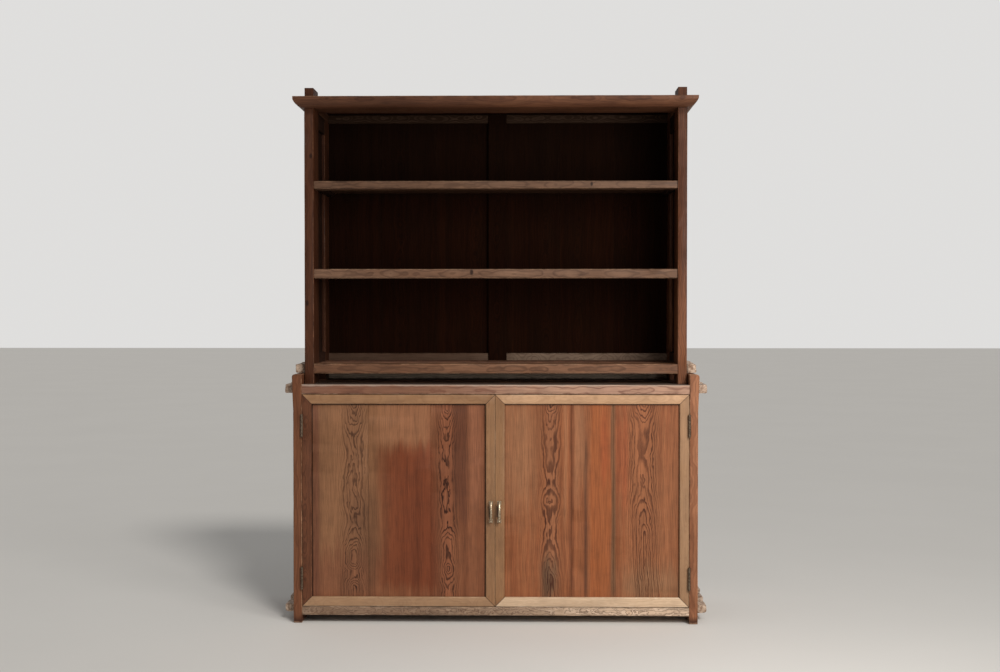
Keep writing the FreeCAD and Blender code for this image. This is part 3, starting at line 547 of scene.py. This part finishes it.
RIGHT_PANEL_AREAS = (
    (0.020, 0.120, 0.040, 0.340, 0.700, 0.120, (158, 112, 80), 0.70),
    (0.140, 0.190, 0.014, 0.060, 0.200, 0.050, (96, 78, 60), 0.75),
    (0.205, 0.215, 0.006, 0.300, 0.700, 0.080, (168, 118, 84), 0.50),
    (0.222, 0.236, 0.004, 0.060, 0.700, 0.060, (104, 58, 36), 0.55),
    (0.266, 0.275, 0.004, 0.070, 0.540, 0.040, (88, 54, 38), 0.75),
    (0.236, 0.268, 0.008, 0.400, 0.700, 0.080, (160, 112, 80), 0.60),
    (0.282, 0.346, 0.010, 0.060, 0.700, 0.060, (166, 94, 52), 0.70),
    (0.318, 0.342, 0.010, 0.440, 0.620, 0.060, (164, 80, 46), 0.50),
    (0.347, 0.360, 0.004, 0.060, 0.700, 0.050, (112, 82, 58), 0.75),
    (0.364, 0.400, 0.014, 0.380, 0.620, 0.090, (158, 80, 48), 0.50),
    (0.405, 0.560, 0.040, 0.060, 0.520, 0.120, (148, 96, 64), 0.55),
    (0.380, 0.560, 0.040, 0.060, 0.160, 0.050, (146, 110, 80), 0.60),
    (0.152, 0.186, 0.006, 0.200, 0.700, 0.050, (166, 112, 80), 0.45),
    (0.425, 0.462, 0.008, 0.300, 0.700, 0.050, (170, 108, 72), 0.45),
)
WHOLE_WIDTH = (-0.70, 0.70, 0.01)
LEFT_HALF = (-0.70, 0.0, 0.01)
# Painted shadows that the handles cast to their left on the stiles
HANDLE_SHADOW_BAND = (0.0018, 0.318, 0.352, 0.004, (44, 24, 12), 0.85)
HANDLE_SHADOWS = ((-0.0205, -0.0145) + HANDLE_SHADOW_BAND, (0.0035, 0.0100) + HANDLE_SHADOW_BAND)

# A door's outline as |x| from and to, z from and to, and the width of its mitre lines
(door_inner, _, door_bottom), (door_outer, _, door_top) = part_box("right_door_rails")
(stile_inner, _, _), (stile_outer, _, _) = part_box("right_door_hinge_stile")
stile_width = stile_outer - stile_inner
DOOR_OUTLINE = (door_inner, door_outer, door_bottom, door_top, 0.0016)

# Grime and painted shadow of the frame along a panel's sides: left, right, top, width and the share of each
panel_sides = (door_inner + stile_width, stile_inner)
panel_top = door_top - stile_width
LEFT_BORDER = (-panel_sides[1], -panel_sides[0], panel_top, 0.0048, (0.85, 0.85, 0.9))
RIGHT_BORDER = (*panel_sides, panel_top, 0.0046, (0.25, 0.40, 0.9))


def tenon_length(rail):
    """How far an upper rail stands out of its side. The base's tenons are worn over the same length."""
    return round(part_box(rail)[1][0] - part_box("upper_front_right_post")[1][0], 4)


FRONT_TENON = tenon_length("upper_front_bottom_rail")
MIDDLE_TENON = tenon_length("upper_middle_bearer")
REAR_TENON = tenon_length("upper_rear_bottom_rail")
BASE_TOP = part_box("base_front_top_rail")[1][2]

# Levels just inside the faces that look out of the upper section, where the tint of the outside begins
OUTER_SKIN = 0.002
BACK_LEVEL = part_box("upper_back_boards")[1][1] - OUTER_SKIN
SIDE_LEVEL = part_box("upper_side_panels")[1][0] - OUTER_SKIN
TOP_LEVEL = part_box("ceiling_boards")[1][2] - OUTER_SKIN

# Several woods are darker over their left part, smoothly so on the rails and the cornice that span the front:
# partly the wood's own colour, partly painted shade where the light falls off towards the left. The lighter
# area low on the right upper post is partly painted light.
WOODS = {
    "left_panel": dict(
        early=(138, 86, 58), streak=(112, 64, 40), late=(46, 20, 11), contrast=1.0, streaks=0.45,
        dirt_share=0.12, areas=LEFT_PANEL_AREAS, rough=0.5, relief=0.0003, border_grime_and_shadow=LEFT_BORDER, gloss=0.2,
        drawn=0.24),
    "right_panel": dict(
        early=(154, 96, 62), streak=(128, 70, 42), late=(66, 30, 18), contrast=1.0, streaks=0.5,
        dirt_share=0.12, areas=RIGHT_PANEL_AREAS, rough=0.5, relief=0.0003, border_grime_and_shadow=RIGHT_BORDER, gloss=0.2,
        drawn=0.24),
    "door_frame": dict(
        early=(198, 152, 112), streak=(178, 134, 96), late=(150, 106, 72), contrast=0.25, streaks=0.6,
        stain=(166, 126, 92), stain_share=0.4, wear=(226, 192, 156), wear_share=0.4,
        dirt=(84, 56, 38), dirt_share=0.22, dirt_reach=0.003, rough=0.48, relief=0.00012,
        fibre_share=0.18, drawn=0.10, mitre=DOOR_OUTLINE, areas=HANDLE_SHADOWS),
    "dark_stile": dict(
        early=(114, 70, 47), streak=(92, 54, 35), late=(56, 30, 20), contrast=0.6, stain=(94, 55, 35),
        wear=(138, 94, 66), dirt_share=0.4, dirt_reach=0.004, rough=0.5, mitre=DOOR_OUTLINE, gloss=0.2),
    "base_post": dict(
        early=(164, 110, 78), streak=(138, 86, 58), late=(88, 50, 32), contrast=0.6, stain=(126, 78, 52),
        stain_share=0.6, wear=(190, 146, 112), wear_share=0.7, feet=0.026, rough=0.5, gloss=0.2,
        areas=((*LEFT_HALF, -0.1, 0.9, 0.01, (85, 48, 29), 0.62),)),
    "top_rail": dict(
        early=(190, 152, 129), streak=(162, 121, 100), late=(116, 76, 60), contrast=0.8,
        stain=(174, 134, 116), wear=(214, 182, 158), wear_share=0.5, rough=0.48, tenon=FRONT_TENON, gloss=0.2,
        # The pale band under the top edge is part wear and part painted highlight; the dark top face is
        # painted shade under the upper section
        ledge=(BASE_TOP, (196, 178, 164), 0.45, (26, 18, 13)),
        areas=((-0.70, -0.02, 0.24, 0.60, 0.80, 0.01, (105, 62, 40), 0.74),)),
    "bottom_rail": dict(
        early=(226, 200, 176), streak=(192, 162, 134), late=(96, 70, 54), contrast=0.9,
        stain=(158, 130, 106), wear=(214, 186, 160), wear_share=0.5, rough=0.5, relief=0.00035,
        tenon=FRONT_TENON, gloss=0.2,
        areas=((-0.70, 0.02, 0.30, -0.10, 0.20, 0.01, (103, 74, 54), 0.76),)),
    "upper_post": dict(
        early=(101, 61, 40), streak=(80, 45, 28), late=(52, 27, 17), contrast=0.6, stain=(80, 45, 29),
        stain_share=0.6, wear=(146, 98, 70), wear_share=0.6, rough=0.5, gloss=0.15,
        areas=((*LEFT_HALF, 0.5, 1.7, 0.01, (62, 34, 21), 0.50),
               (0.50, 0.70, 0.01, 0.5, 1.02, 0.15, (164, 106, 72), 0.45)),
        knots=((-0.558, -0.140, 1.405, 0.006), (-0.570, -0.140, 0.961, 0.007))),
    "shelf": dict(
        early=(132, 99, 77), streak=(106, 77, 59), late=(66, 44, 33), contrast=0.5, stain=(104, 72, 52),
        wear=(172, 136, 106), wear_share=0.6, rough=0.5, gloss=0.2,
        knots=((-0.072, -0.134, 1.054, 0.007), (0.290, -0.134, 1.320, 0.005))),
    "upper_bottom": dict(
        early=(129, 92, 69), streak=(102, 70, 50), late=(66, 42, 30), contrast=0.6, stain=(104, 70, 50),
        wear=(176, 140, 110), wear_share=0.7, rough=0.5, tenon=FRONT_TENON, gloss=0.2),
    "cornice": dict(
        early=(119, 78, 55), streak=(95, 58, 40), late=(54, 31, 22), contrast=0.5, stain=(80, 49, 35),
        stain_share=0.6, wear=(158, 118, 90), wear_share=0.6, rough=0.48, gloss=0.18,
        areas=((-0.70, -0.05, 0.20, 1.5, 1.7, 0.01, (66, 40, 28), 0.50),)),
    # The back rails: painted shade darkens their left part and, most, the top rail; painted light makes the
    # foot of the bottom rail pale where it shows through the slot under the upper section
    "back_rail": dict(
        early=(164, 140, 122), streak=(140, 118, 100), late=(104, 82, 68), contrast=0.5,
        stain=(132, 108, 92), rough=0.7, gloss=0.04, outside=("y", BACK_LEVEL, (112, 76, 56)),
        areas=((-0.70, 0.0, 0.10, 0.745, 1.7, 0.004, (90, 64, 50), 0.75),
               (*WHOLE_WIDTH, 0.6, 0.744, 0.004, (232, 210, 190), 0.9),
               (*WHOLE_WIDTH, 1.2, 1.7, 0.01, (52, 36, 26), 0.97))),
    # The ceiling boards are darkened with painted shade inside the cabinet; the top outside has the lighter
    # tint
    "ceiling": dict(
        early=(52, 27, 15), streak=(40, 20, 11), late=(26, 13, 8), contrast=0.6, stain=(36, 20, 12),
        rough=0.7, gloss=0.05, outside=("z", TOP_LEVEL, (104, 72, 54))),
    # The back boards are darkened with painted shade inside, most in the top bay; outside they have the
    # lighter tint
    "upper_back": dict(
        early=(43, 21, 11), streak=(33, 16, 9), late=(22, 11, 6), contrast=0.6, stain=(33, 18, 10),
        stain_share=0.6, rough=0.8, gloss=0.02, outside=("y", BACK_LEVEL, (98, 64, 46)),
        areas=((*WHOLE_WIDTH, 1.31, 1.7, 0.02, (24, 14, 8), 0.6),), knots=((0.346, 0.184, 1.557, 0.012),)),
    # The side panels and rails are darkened with painted shade inside; outside they have the lighter tint
    "upper_side": dict(
        early=(54, 34, 25), streak=(44, 27, 20), late=(28, 17, 12), contrast=0.6, stain=(40, 25, 18),
        rough=0.56, gloss=0.15, outside=("x", SIDE_LEVEL, (108, 70, 50))),
    "shelf_top": dict(
        early=(98, 70, 53), streak=(80, 56, 42), late=(52, 34, 25), contrast=0.5, stain=(76, 52, 39),
        rough=0.56, gloss=0.15),
    "upper_floor": dict(
        early=(138, 104, 82), streak=(112, 82, 63), late=(72, 48, 36), contrast=0.5, stain=(108, 76, 58),
        rough=0.56, gloss=0.15),
    "side": dict(
        early=(116, 76, 54), streak=(94, 58, 40), late=(60, 36, 26), contrast=0.6, stain=(90, 56, 40),
        rough=0.56),
    "bearer": dict(
        early=(128, 88, 66), streak=(104, 68, 50), late=(66, 42, 30), contrast=0.7, stain=(98, 64, 48),
        rough=0.56, tenon=MIDDLE_TENON),
    "inner": dict(
        early=(150, 112, 82), streak=(128, 92, 66), late=(98, 66, 46), contrast=0.5, stain=(124, 90, 66),
        rough=0.62),
    "base_back": dict(
        early=(104, 72, 52), streak=(86, 56, 40), late=(58, 36, 26), contrast=0.6, stain=(80, 54, 40),
        rough=0.62),
}
WOODS["rear_rail"] = {**WOODS["bearer"], "tenon": REAR_TENON}
METALS = {
    "brass": dict(
        bright=(196, 180, 156), dull=(140, 119, 95), dark=(58, 38, 22), rough=0.40, tarnish=0.8,
        shaded_side=(0.314, 0.350, 0.92)),
    "hinge": dict(bright=(124, 108, 92), dull=(78, 64, 52), dark=(34, 25, 19), rough=0.45, tarnish=0.8),
    "steel": dict(bright=(132, 126, 118), dull=(82, 74, 66), dark=(40, 34, 30), rough=0.45, tarnish=0.6),
}
MATERIALS = {name: wood(name, **look) for name, look in WOODS.items()}
MATERIALS.update({name: metal(name, **look) for name, look in METALS.items()})

# How boards lay in the log. A heart is a line of (height, across, depth) in metres, with the rings about it.
# A figure is (wander, curl, ring width), and a flame is (half width, wave, fineness of the waves).
PLAIN_FIGURE = (0.018, 0.0018, 0.0040)
PLAIN_FLAME = (0.070, 0.0015, 1.0)
SPLIT_FIGURE = (0.020, 0.0015, 0.0080)
PLAIN_HEART = ((0.0, -0.60, 0.010), (0.7, -0.60, 0.010))
LEFT_OUTER_HEART = (
    (0.070, -0.4235, 0.003), (0.105, -0.4235, 0.008), (0.135, -0.4240, 0.022), (0.160, -0.4245, 0.026),
    (0.180, -0.4250, 0.012), (0.215, -0.4250, 0.012), (0.265, -0.4230, 0.034), (0.300, -0.4200, 0.036),
    (0.350, -0.4240, 0.033), (0.400, -0.4290, 0.037), (0.440, -0.4270, 0.034), (0.500, -0.4210, 0.038),
    (0.560, -0.4260, 0.035), (0.585, -0.4260, 0.031), (0.608, -0.4255, 0.024), (0.631, -0.4250, 0.017),
    (0.660, -0.4245, 0.010),
)
LEFT_INNER_HEART = (
    (0.070, -0.1400, 0.027), (0.105, -0.1400, 0.025), (0.130, -0.1405, 0.020), (0.162, -0.1405, 0.006),
    (0.190, -0.1405, 0.018), (0.230, -0.1420, 0.020), (0.288, -0.1410, 0.034), (0.340, -0.1440, 0.036),
    (0.390, -0.1460, 0.032), (0.440, -0.1470, 0.036), (0.490, -0.1480, 0.033), (0.530, -0.1470, 0.034),
    (0.560, -0.1460, 0.030), (0.600, -0.1450, 0.022), (0.660, -0.1440, 0.004),
)
RIGHT_INNER_HEART = (
    (0.070, 0.1700, 0.003), (0.130, 0.1690, 0.008), (0.170, 0.1670, 0.017), (0.210, 0.1670, 0.026),
    (0.250, 0.1650, 0.035), (0.310, 0.1640, 0.036), (0.340, 0.1660, 0.031), (0.365, 0.1660, 0.023),
    (0.392, 0.1650, 0.031), (0.415, 0.1650, 0.038), (0.440, 0.1650, 0.035), (0.485, 0.1650, 0.034),
    (0.560, 0.1670, 0.025), (0.626, 0.1680, 0.020), (0.660, 0.1700, 0.007),
)
RIGHT_OUTER_HEART = (
    (0.070, 0.4560, 0.001), (0.160, 0.4500, 0.004), (0.268, 0.4450, 0.009), (0.309, 0.4440, 0.015),
    (0.339, 0.4430, 0.021), (0.364, 0.4430, 0.026), (0.399, 0.4420, 0.031), (0.450, 0.4400, 0.034),
    (0.505, 0.4390, 0.038), (0.550, 0.4430, 0.037), (0.608, 0.4440, 0.034), (0.640, 0.4440, 0.020),
    (0.660, 0.4440, 0.012),
)

# What a node's boards differ in from the plain: the wood, lists that go board by board (heart, figure, flame
# and tone as light and redness), the heart's place before the board's face (front), the distance between
# slices (step), how deep the edges are rubbed (dent), the tenons' length and the long axis. Lengths are in
# metres.
BOARD_LOOKS = {
    "left_door_panel_boards": {
        "wood": "left_panel", "step": 0.012, "dent": 0.0002,
        "heart": (LEFT_OUTER_HEART, PLAIN_HEART, LEFT_INNER_HEART),
        "figure": ((0.008, 0.0060, 0.0056), SPLIT_FIGURE, (0.008, 0.0055, 0.0056)),
        "flame": ((0.032, 0.0115, 0.9), PLAIN_FLAME, (0.023, 0.0100, 1.0))},
    "right_door_panel_boards": {
        "wood": "right_panel", "step": 0.012, "dent": 0.0002,
        "heart": (RIGHT_INNER_HEART, PLAIN_HEART, RIGHT_OUTER_HEART),
        "figure": ((0.008, 0.0060, 0.0064), SPLIT_FIGURE, (0.008, 0.0050, 0.0064)),
        "flame": ((0.024, 0.0115, 1.0), PLAIN_FLAME, (0.040, 0.0090, 1.0))},
    "left_door_hinge_stile": {"wood": "dark_stile"},
    "left_door_meeting_stile": {"wood": "door_frame", "tone": ((0.52, 1.08),)},
    "left_door_rails": {"wood": "door_frame", "tone": ((0.80, 0.94), (0.63, 1.04))},
    "right_door_hinge_stile": {"wood": "door_frame", "tone": ((0.66, 0.98),)},
    "right_door_meeting_stile": {"wood": "door_frame", "tone": ((0.52, 1.08),)},
    "right_door_rails": {"wood": "door_frame", "tone": ((1.62, 0.78), (1.12, 0.93))},
    "base_front_bottom_rail": {
        "wood": "bottom_rail", "front": (0.012, 0.0), "dent": 0.0009, "tenon": FRONT_TENON,
        "figure": ((0.020, 0.0090, 0.0042),), "flame": ((0.070, 0.0150, 1.9),)},
    "base_front_top_rail": {
        "wood": "top_rail", "front": (0.020, 0.004), "tenon": FRONT_TENON,
        "figure": ((0.016, 0.0030, 0.0050),), "flame": ((0.070, 0.0032, 0.9),)},
    "upper_front_bottom_rail": {
        "wood": "upper_bottom", "front": (0.018, 0.0), "tenon": FRONT_TENON,
        "figure": ((0.016, 0.0036, 0.0050),), "flame": ((0.070, 0.0040, 1.0),)},
    "base_middle_bottom_bearer": {"wood": "bearer", "tenon": MIDDLE_TENON},
    "base_middle_top_bearer": {"wood": "bearer", "tenon": MIDDLE_TENON},
    "upper_middle_bearer": {"wood": "bearer", "tenon": MIDDLE_TENON},
    "base_rear_bottom_rail": {"wood": "rear_rail", "tenon": REAR_TENON},
    "base_rear_top_rail": {"wood": "rear_rail", "tenon": REAR_TENON},
    "upper_rear_bottom_rail": {"wood": "rear_rail", "tenon": REAR_TENON},
    "shelf_front_rails": {
        "wood": "shelf", "front": (0.022, 0.0), "tone": ((1.14, 0.97), (0.80, 1.00)),
        "figure": ((0.016, 0.0034, 0.0050),), "flame": ((0.070, 0.0036, 1.0),)},
    "front_cornice": {"wood": "cornice", "front": (0.060, 0.0), "figure": ((0.030, 0.0020, 0.0050),)},
    "cornice_returns": {"wood": "cornice"},
    "ceiling_boards": {"wood": "ceiling", "axis": 1},
    "upper_side_panels": {"wood": "upper_side"},
    "upper_side_rails": {"wood": "upper_side"},
    "shelf_boards": {"wood": "shelf_top"},
    "upper_back_boards": {"wood": "upper_back", "dent": 0.0},
    "upper_back_muntin": {"wood": "upper_back", "dent": 0.0001},
    "base_back_boards": {"wood": "base_back", "dent": 0.0},
    "upper_back_bottom_rail": {"wood": "back_rail", "dent": 0.0001},
    "upper_back_top_rail": {"wood": "back_rail", "dent": 0.0001},
    "shelf_cleats": {"wood": "upper_side"},
    "upper_floor_boards": {"wood": "upper_floor"},
}
PLAIN_STEP = 0.03
PLAIN_DENT = 0.0007
PLAIN_TONE = (1.0, 1.0)

# The wood or metal of the nodes that have no wood of their own above, by their material slot
SLOT_WOODS = {
    "post_wood": "upper_post", "rail_wood": "side", "back_wood": "upper_back", "inner_wood": "inner",
    "side_panel_wood": "side", "shelf_wood": "shelf", "cornice_wood": "cornice",
}
SLOT_METALS = {"handle_brass": "brass", "hinge_metal": "hinge", "screw_steel": "steel"}


def wood_of(node):
    own = BOARD_LOOKS.get(node, {}).get("wood")
    if own:
        return own
    if node.startswith("base_") and "post" in node:
        return "base_post"
    return SLOT_WOODS[slots[node]]


SAME_PLACE = 1e-6


def mesh_islands(mesh_bm):
    """The sets of corners that hang together."""
    left = set(mesh_bm.verts)
    islands = []
    while left:
        stack = [left.pop()]
        island = set(stack)
        while stack:
            vertex = stack.pop()
            for edge in vertex.link_edges:
                other = edge.other_vert(vertex)
                if other not in island:
                    island.add(other)
                    left.discard(other)
                    stack.append(other)
        islands.append(island)
    return islands


def board_seams(mesh_bm, axis):
    """Where boards of one node lie face to face: places with faces that look both ways along the axis."""
    facing = 0.99
    places = [(round(f.calc_center_median()[axis], 4), f.normal[axis]) for f in mesh_bm.faces]
    ahead = {place for place, look in places if look > facing}
    behind = {place for place, look in places if look < -facing}
    return sorted(ahead & behind)


def split_solids(mesh, abutting):
    """The separate boards of a node's mesh, also where they touch face to face."""
    inward = 0.0003
    whole = bmesh.new()
    whole.from_mesh(mesh)
    whole.normal_update()
    seams = [board_seams(whole, axis) if abutting else [] for axis in (0, 1)]
    groups = {}
    for face in whole.faces:
        inside = face.calc_center_median() - face.normal * inward
        key = tuple(bisect.bisect(line, inside[axis]) for axis, line in enumerate(seams))
        groups.setdefault(key, []).append([tuple(v.co) for v in face.verts])
    whole.free()
    pieces = []
    for key in sorted(groups):
        group = bmesh.new()
        for corners in groups[key]:
            group.faces.new([group.verts.new(corner) for corner in corners])
        bmesh.ops.remove_doubles(group, verts=group.verts, dist=SAME_PLACE)
        group.verts.index_update()
        for island in mesh_islands(group):
            piece = bmesh.new()
            made = {v: piece.verts.new(v.co) for v in sorted(island, key=lambda v: v.index)}
            for face in group.faces:
                if face.verts[0] in island:
                    piece.faces.new([made[v] for v in face.verts])
            pieces.append(piece)
        group.free()
    return pieces


def slice_board(piece, axes, low, high, step, tenon):
    """Cuts a board's faces at even steps along it, and more closely on its tenons."""
    long_axis, _, thin = axes
    slices_to_tenon = 4.6
    bmesh.ops.dissolve_limit(piece, angle_limit=math.radians(0.4), verts=piece.verts, edges=piece.edges)
    length = high[long_axis] - low[long_axis]
    count = max(1, round(length / step))
    stations = [(long_axis, number / count) for number in range(1, count)]
    if tenon:
        for number in range(1, 5):
            reach = tenon * number / slices_to_tenon / length
            stations += [(long_axis, reach), (long_axis, 1 - reach)]
        stations += [(thin, 0.33), (thin, 0.66)]
    for axis, share in stations:
        at = low.copy()
        at[axis] = low[axis] + (high[axis] - low[axis]) * share
        direction = Vector([1.0 if i == axis else 0.0 for i in range(3)])
        everything = list(piece.verts) + list(piece.edges) + list(piece.faces)
        bmesh.ops.bisect_plane(piece, geom=everything, dist=SAME_PLACE, plane_co=at, plane_no=direction)
    piece.normal_update()


# Wear in metres and in noise waves to the metre: tenons erode in lumps, other edges are rubbed and chipped
TENON_LEAST = 0.0004
TENON_LUMP = 0.0030
TENON_CORNER = 0.0012
LUMP_WAVES = 75.0
RUB_WAVES = 90.0
CHIP_WAVES = 260.0


def weather_board(piece, long_axis, low, high, dent, seed, tenon):
    """Rubs a board's edges down by about dent metres and erodes the outer nine tenths of its tenons."""
    sharp_from = 0.1
    moves = []
    for vertex in piece.verts:
        normals = [face.normal for face in vertex.link_faces]
        sharp = max((1 - normals[0].dot(n) for n in normals), default=0)
        spot = Vector(vertex.co)
        from_end = min(spot[long_axis] - low[long_axis], high[long_axis] - spot[long_axis])
        if tenon and from_end < tenon * 0.9:
            lump = noise.noise(spot * LUMP_WAVES + Vector((0, 0, seed)))
            corner = TENON_CORNER if sharp > sharp_from else 0.0
            amount = TENON_LEAST + TENON_LUMP * max(0.0, lump + 0.15) + corner
        elif sharp >= sharp_from:
            spot[long_axis] *= 0.35
            rub = noise.noise((spot * RUB_WAVES) + Vector((seed, 0, 0)))
            chip = noise.noise((spot * CHIP_WAVES) + Vector((0, seed, 0)))
            amount = dent * (0.30 + 0.9 * max(0.0, rub) + 1.3 * max(0.0, chip - 0.25))
        else:
            continue
        moves.append((vertex, vertex.normal * -amount))
    for vertex, move in moves:
        vertex.co += move


def along_line(points, at):
    """The point of a line of (place, value, value) points at a place, eased between its points."""
    if at <= points[0][0]:
        return points[0]
    for low, high in zip(points, points[1:]):
        if at <= high[0]:
            share = (at - low[0]) / (high[0] - low[0])
            share = share * share * (3 - 2 * share) * 0.5 + share * 0.5
            return [a + (b - a) * share for a, b in zip(low, high)]
    return points[-1]


def box_of(piece):
    corners = [v.co for v in piece.verts]
    low = Vector([min(co[i] for co in corners) for i in range(3)])
    high = Vector([max(co[i] for co in corners) for i in range(3)])
    return low, high


def board_axes(size, long_axis):
    """The axes along, across and through a board; the longest side lies along it unless an axis is given."""
    order = sorted(range(3), key=lambda i: size[i])
    thin = order[0]
    if long_axis is None:
        long_axis = order[2]
    wide = ({0, 1, 2} - {long_axis, thin}).pop()
    return long_axis, wide, thin


def heart_place(chooser, front, half, wide, thin):
    """Where the heart of a board's log lies from the board's middle, across it and through it."""
    most_aside = 0.6
    least_behind, most_behind = 0.004, 0.03
    across = chooser.uniform(-most_aside, most_aside) * half[wide]
    depth = chooser.choice((-1, 1)) * (half[thin] + chooser.uniform(least_behind, most_behind))
    if front is None:
        return across, depth
    ahead, above = front
    if wide == 1:
        return -half[wide] - ahead, above
    return above, half[thin] + ahead


def copy_board(piece, target, layers, axes, middle, heart, heart_line, values):
    """Copies a board into the node's mesh and gives its corners the values that its wood reads."""
    long_axis, wide, _ = axes
    seed, across, depth = heart
    made = {}
    for vertex in piece.verts:
        corner = target.verts.new(vertex.co)
        offset = vertex.co - middle
        if heart_line:
            across, depth = along_line(heart_line, vertex.co[long_axis])[1:]
            across -= middle[wide]
        corner[layers["place"]] = Vector([offset[axis] for axis in axes])
        corner[layers["heart"]] = Vector((seed, across, depth))
        for name, value in values.items():
            corner[layers[name]] = Vector(value)
        made[vertex] = corner
    for face in piece.faces:
        target.faces.new([made[v] for v in face.verts])


def entry(look, key, rank, plain):
    """A node's entry for the board of this rank, from a list that starts again when it is used up."""
    choices = look.get(key, (plain,))
    return choices[rank % len(choices)]


def board_mesh(node, look):
    """A node's boards, sliced and worn, in one mesh."""
    chooser = random.Random(node)
    tenon = look.get("tenon", 0.0)
    target = bmesh.new()
    # Cycles keeps the name flame for itself, so the flame is stored as the swirl
    names = ("place", "half", "heart", "figure", "swirl", "tone")
    layers = {name: target.verts.layers.float_vector.new(name) for name in names}
    boards = [(piece, *box_of(piece)) for piece in split_solids(nodes[node].data, node.endswith("_boards"))]
    boards.sort(key=lambda board: tuple(round(q, 4) for q in board[1]))
    for rank, (piece, low, high) in enumerate(boards):
        half = (high - low) / 2
        middle = (low + high) / 2
        axes = board_axes(high - low, look.get("axis"))
        long_axis, wide, thin = axes
        seed = chooser.uniform(1, 90)
        slice_board(piece, axes, low, high, look.get("step", PLAIN_STEP), tenon)
        weather_board(piece, long_axis, low, high, look.get("dent", PLAIN_DENT), seed, tenon)
        heart = (seed, *heart_place(chooser, look.get("front"), half, wide, thin))
        heart_line = entry(look, "heart", rank, None)
        own_light, own_red = entry(look, "tone", rank, PLAIN_TONE)
        light = chooser.uniform(0.96, 1.04) * own_light
        red = chooser.uniform(0.99, 1.02) * own_red
        values = {
            "half": [half[axis] for axis in axes],
            "figure": entry(look, "figure", rank, PLAIN_FIGURE),
            "swirl": entry(look, "flame", rank, PLAIN_FLAME),
            "tone": (seed, light, red),
        }
        copy_board(piece, target, layers, axes, middle, heart, heart_line, values)
        piece.free()
    mesh = bpy.data.meshes.new(node + "_wood")
    target.to_mesh(mesh)
    target.free()
    mesh.shade_smooth()
    mesh.set_sharp_from_angle(angle=math.radians(30))
    return mesh


def board_piece(node):
    mesh = board_mesh(node, BOARD_LOOKS.get(node, {}))
    mesh.materials.append(MATERIALS[wood_of(node)])
    piece = bpy.data.objects.new(node + "_wood", mesh)
    bpy.context.scene.collection.objects.link(piece)
    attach(piece, node_body[node])
    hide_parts(node)


def metal_piece(node):
    mesh = nodes[node].data
    mesh.materials.clear()
    mesh.materials.append(MATERIALS[SLOT_METALS[slots[node]]])
    for polygon in mesh.polygons:
        polygon.material_index = 0


for node_name in sorted(nodes):
    if slots[node_name] in SLOT_METALS:
        metal_piece(node_name)
    else:
        board_piece(node_name)


# Room: a pale floor, soft lamps and the photo's point of view
def floor():
    reach = 30.0
    corners = [(-reach, -reach, 0), (reach, -reach, 0), (reach, reach, 0), (-reach, reach, 0)]
    mesh = bpy.data.meshes.new("studio_floor")
    mesh.from_pydata(corners, [], [(0, 1, 2, 3)])
    piece = bpy.data.objects.new("studio_floor", mesh)
    bpy.context.scene.collection.objects.link(piece)
    material, g, shader = new_material("studio_floor")
    cloud = g.noise(g.add("ShaderNodeTexCoord").outputs["Object"], 1.3, 5.0, 0.6)
    color = g.mix(g.ease(cloud, 0.3, 0.7), srgb(224, 222, 218), srgb(222, 220, 216))
    g.put(color, shader["Base Color"])
    shader["Roughness"].default_value = 0.8
    mesh.materials.append(material)


def far_lamp(name, toward, strength, angle, tint):
    lamp = bpy.data.lights.new(name, "SUN")
    lamp.energy = strength
    lamp.angle = math.radians(angle)
    lamp.color = tint
    holder = bpy.data.objects.new(name, lamp)
    holder.rotation_euler = Vector(toward).to_track_quat("Z", "Y").to_euler()
    bpy.context.scene.collection.objects.link(holder)


def near_lamp(name, place, target, width, height, spread, power, tint):
    lamp = bpy.data.lights.new(name, "AREA")
    lamp.shape = "RECTANGLE"
    lamp.size = width
    lamp.size_y = height
    lamp.spread = math.radians(spread)
    lamp.energy = power
    lamp.color = tint
    holder = bpy.data.objects.new(name, lamp)
    holder.location = place
    holder.rotation_euler = (Vector(place) - Vector(target)).to_track_quat("Z", "Y").to_euler()
    holder.visible_camera = False
    bpy.context.scene.collection.objects.link(holder)


def room_light(on_objects, seen, tint):
    world = bpy.data.worlds.new("studio")
    bpy.context.scene.world = world
    world.use_nodes = True
    g = Graph(world.node_tree)
    back = world.node_tree.nodes["Background"]
    seen_directly = g.add("ShaderNodeLightPath").outputs["Is Camera Ray"]
    g.put(g.line(seen_directly, 0.0, 1.0, on_objects, seen), back.inputs["Strength"])
    back.inputs["Color"].default_value = tint


def photo_camera(place, tilt_down, turn, lens_px, photo_width_px):
    view = bpy.data.cameras.new("view")
    view.sensor_width = 36.0
    view.lens = lens_px * view.sensor_width / photo_width_px
    camera = bpy.data.objects.new("view", view)
    camera.location = place
    camera.rotation_euler = (math.radians(90 - tilt_down), 0.0, math.radians(turn))
    bpy.context.scene.collection.objects.link(camera)
    bpy.context.scene.camera = camera


WARM = (1.0, 0.965, 0.92)

floor()
room_light(on_objects=0.34, seen=0.74, tint=(1.0, 0.99, 0.975, 1.0))
far_lamp("key", toward=(0.34, -0.66, 0.67), strength=1.25, angle=12.0, tint=WARM)
near_lamp("softbox", place=(1.15, -1.85, 1.30), target=(0.10, -0.19, 0.68), width=0.9, height=1.2,
          spread=150, power=16.6, tint=WARM)
photo_camera(place=(0.0919, -4.3322, 0.940), tilt_down=1.07, turn=1.068, lens_px=1389.0,
             photo_width_px=1000.0)
bpy.context.scene.view_settings.view_transform = "Standard"
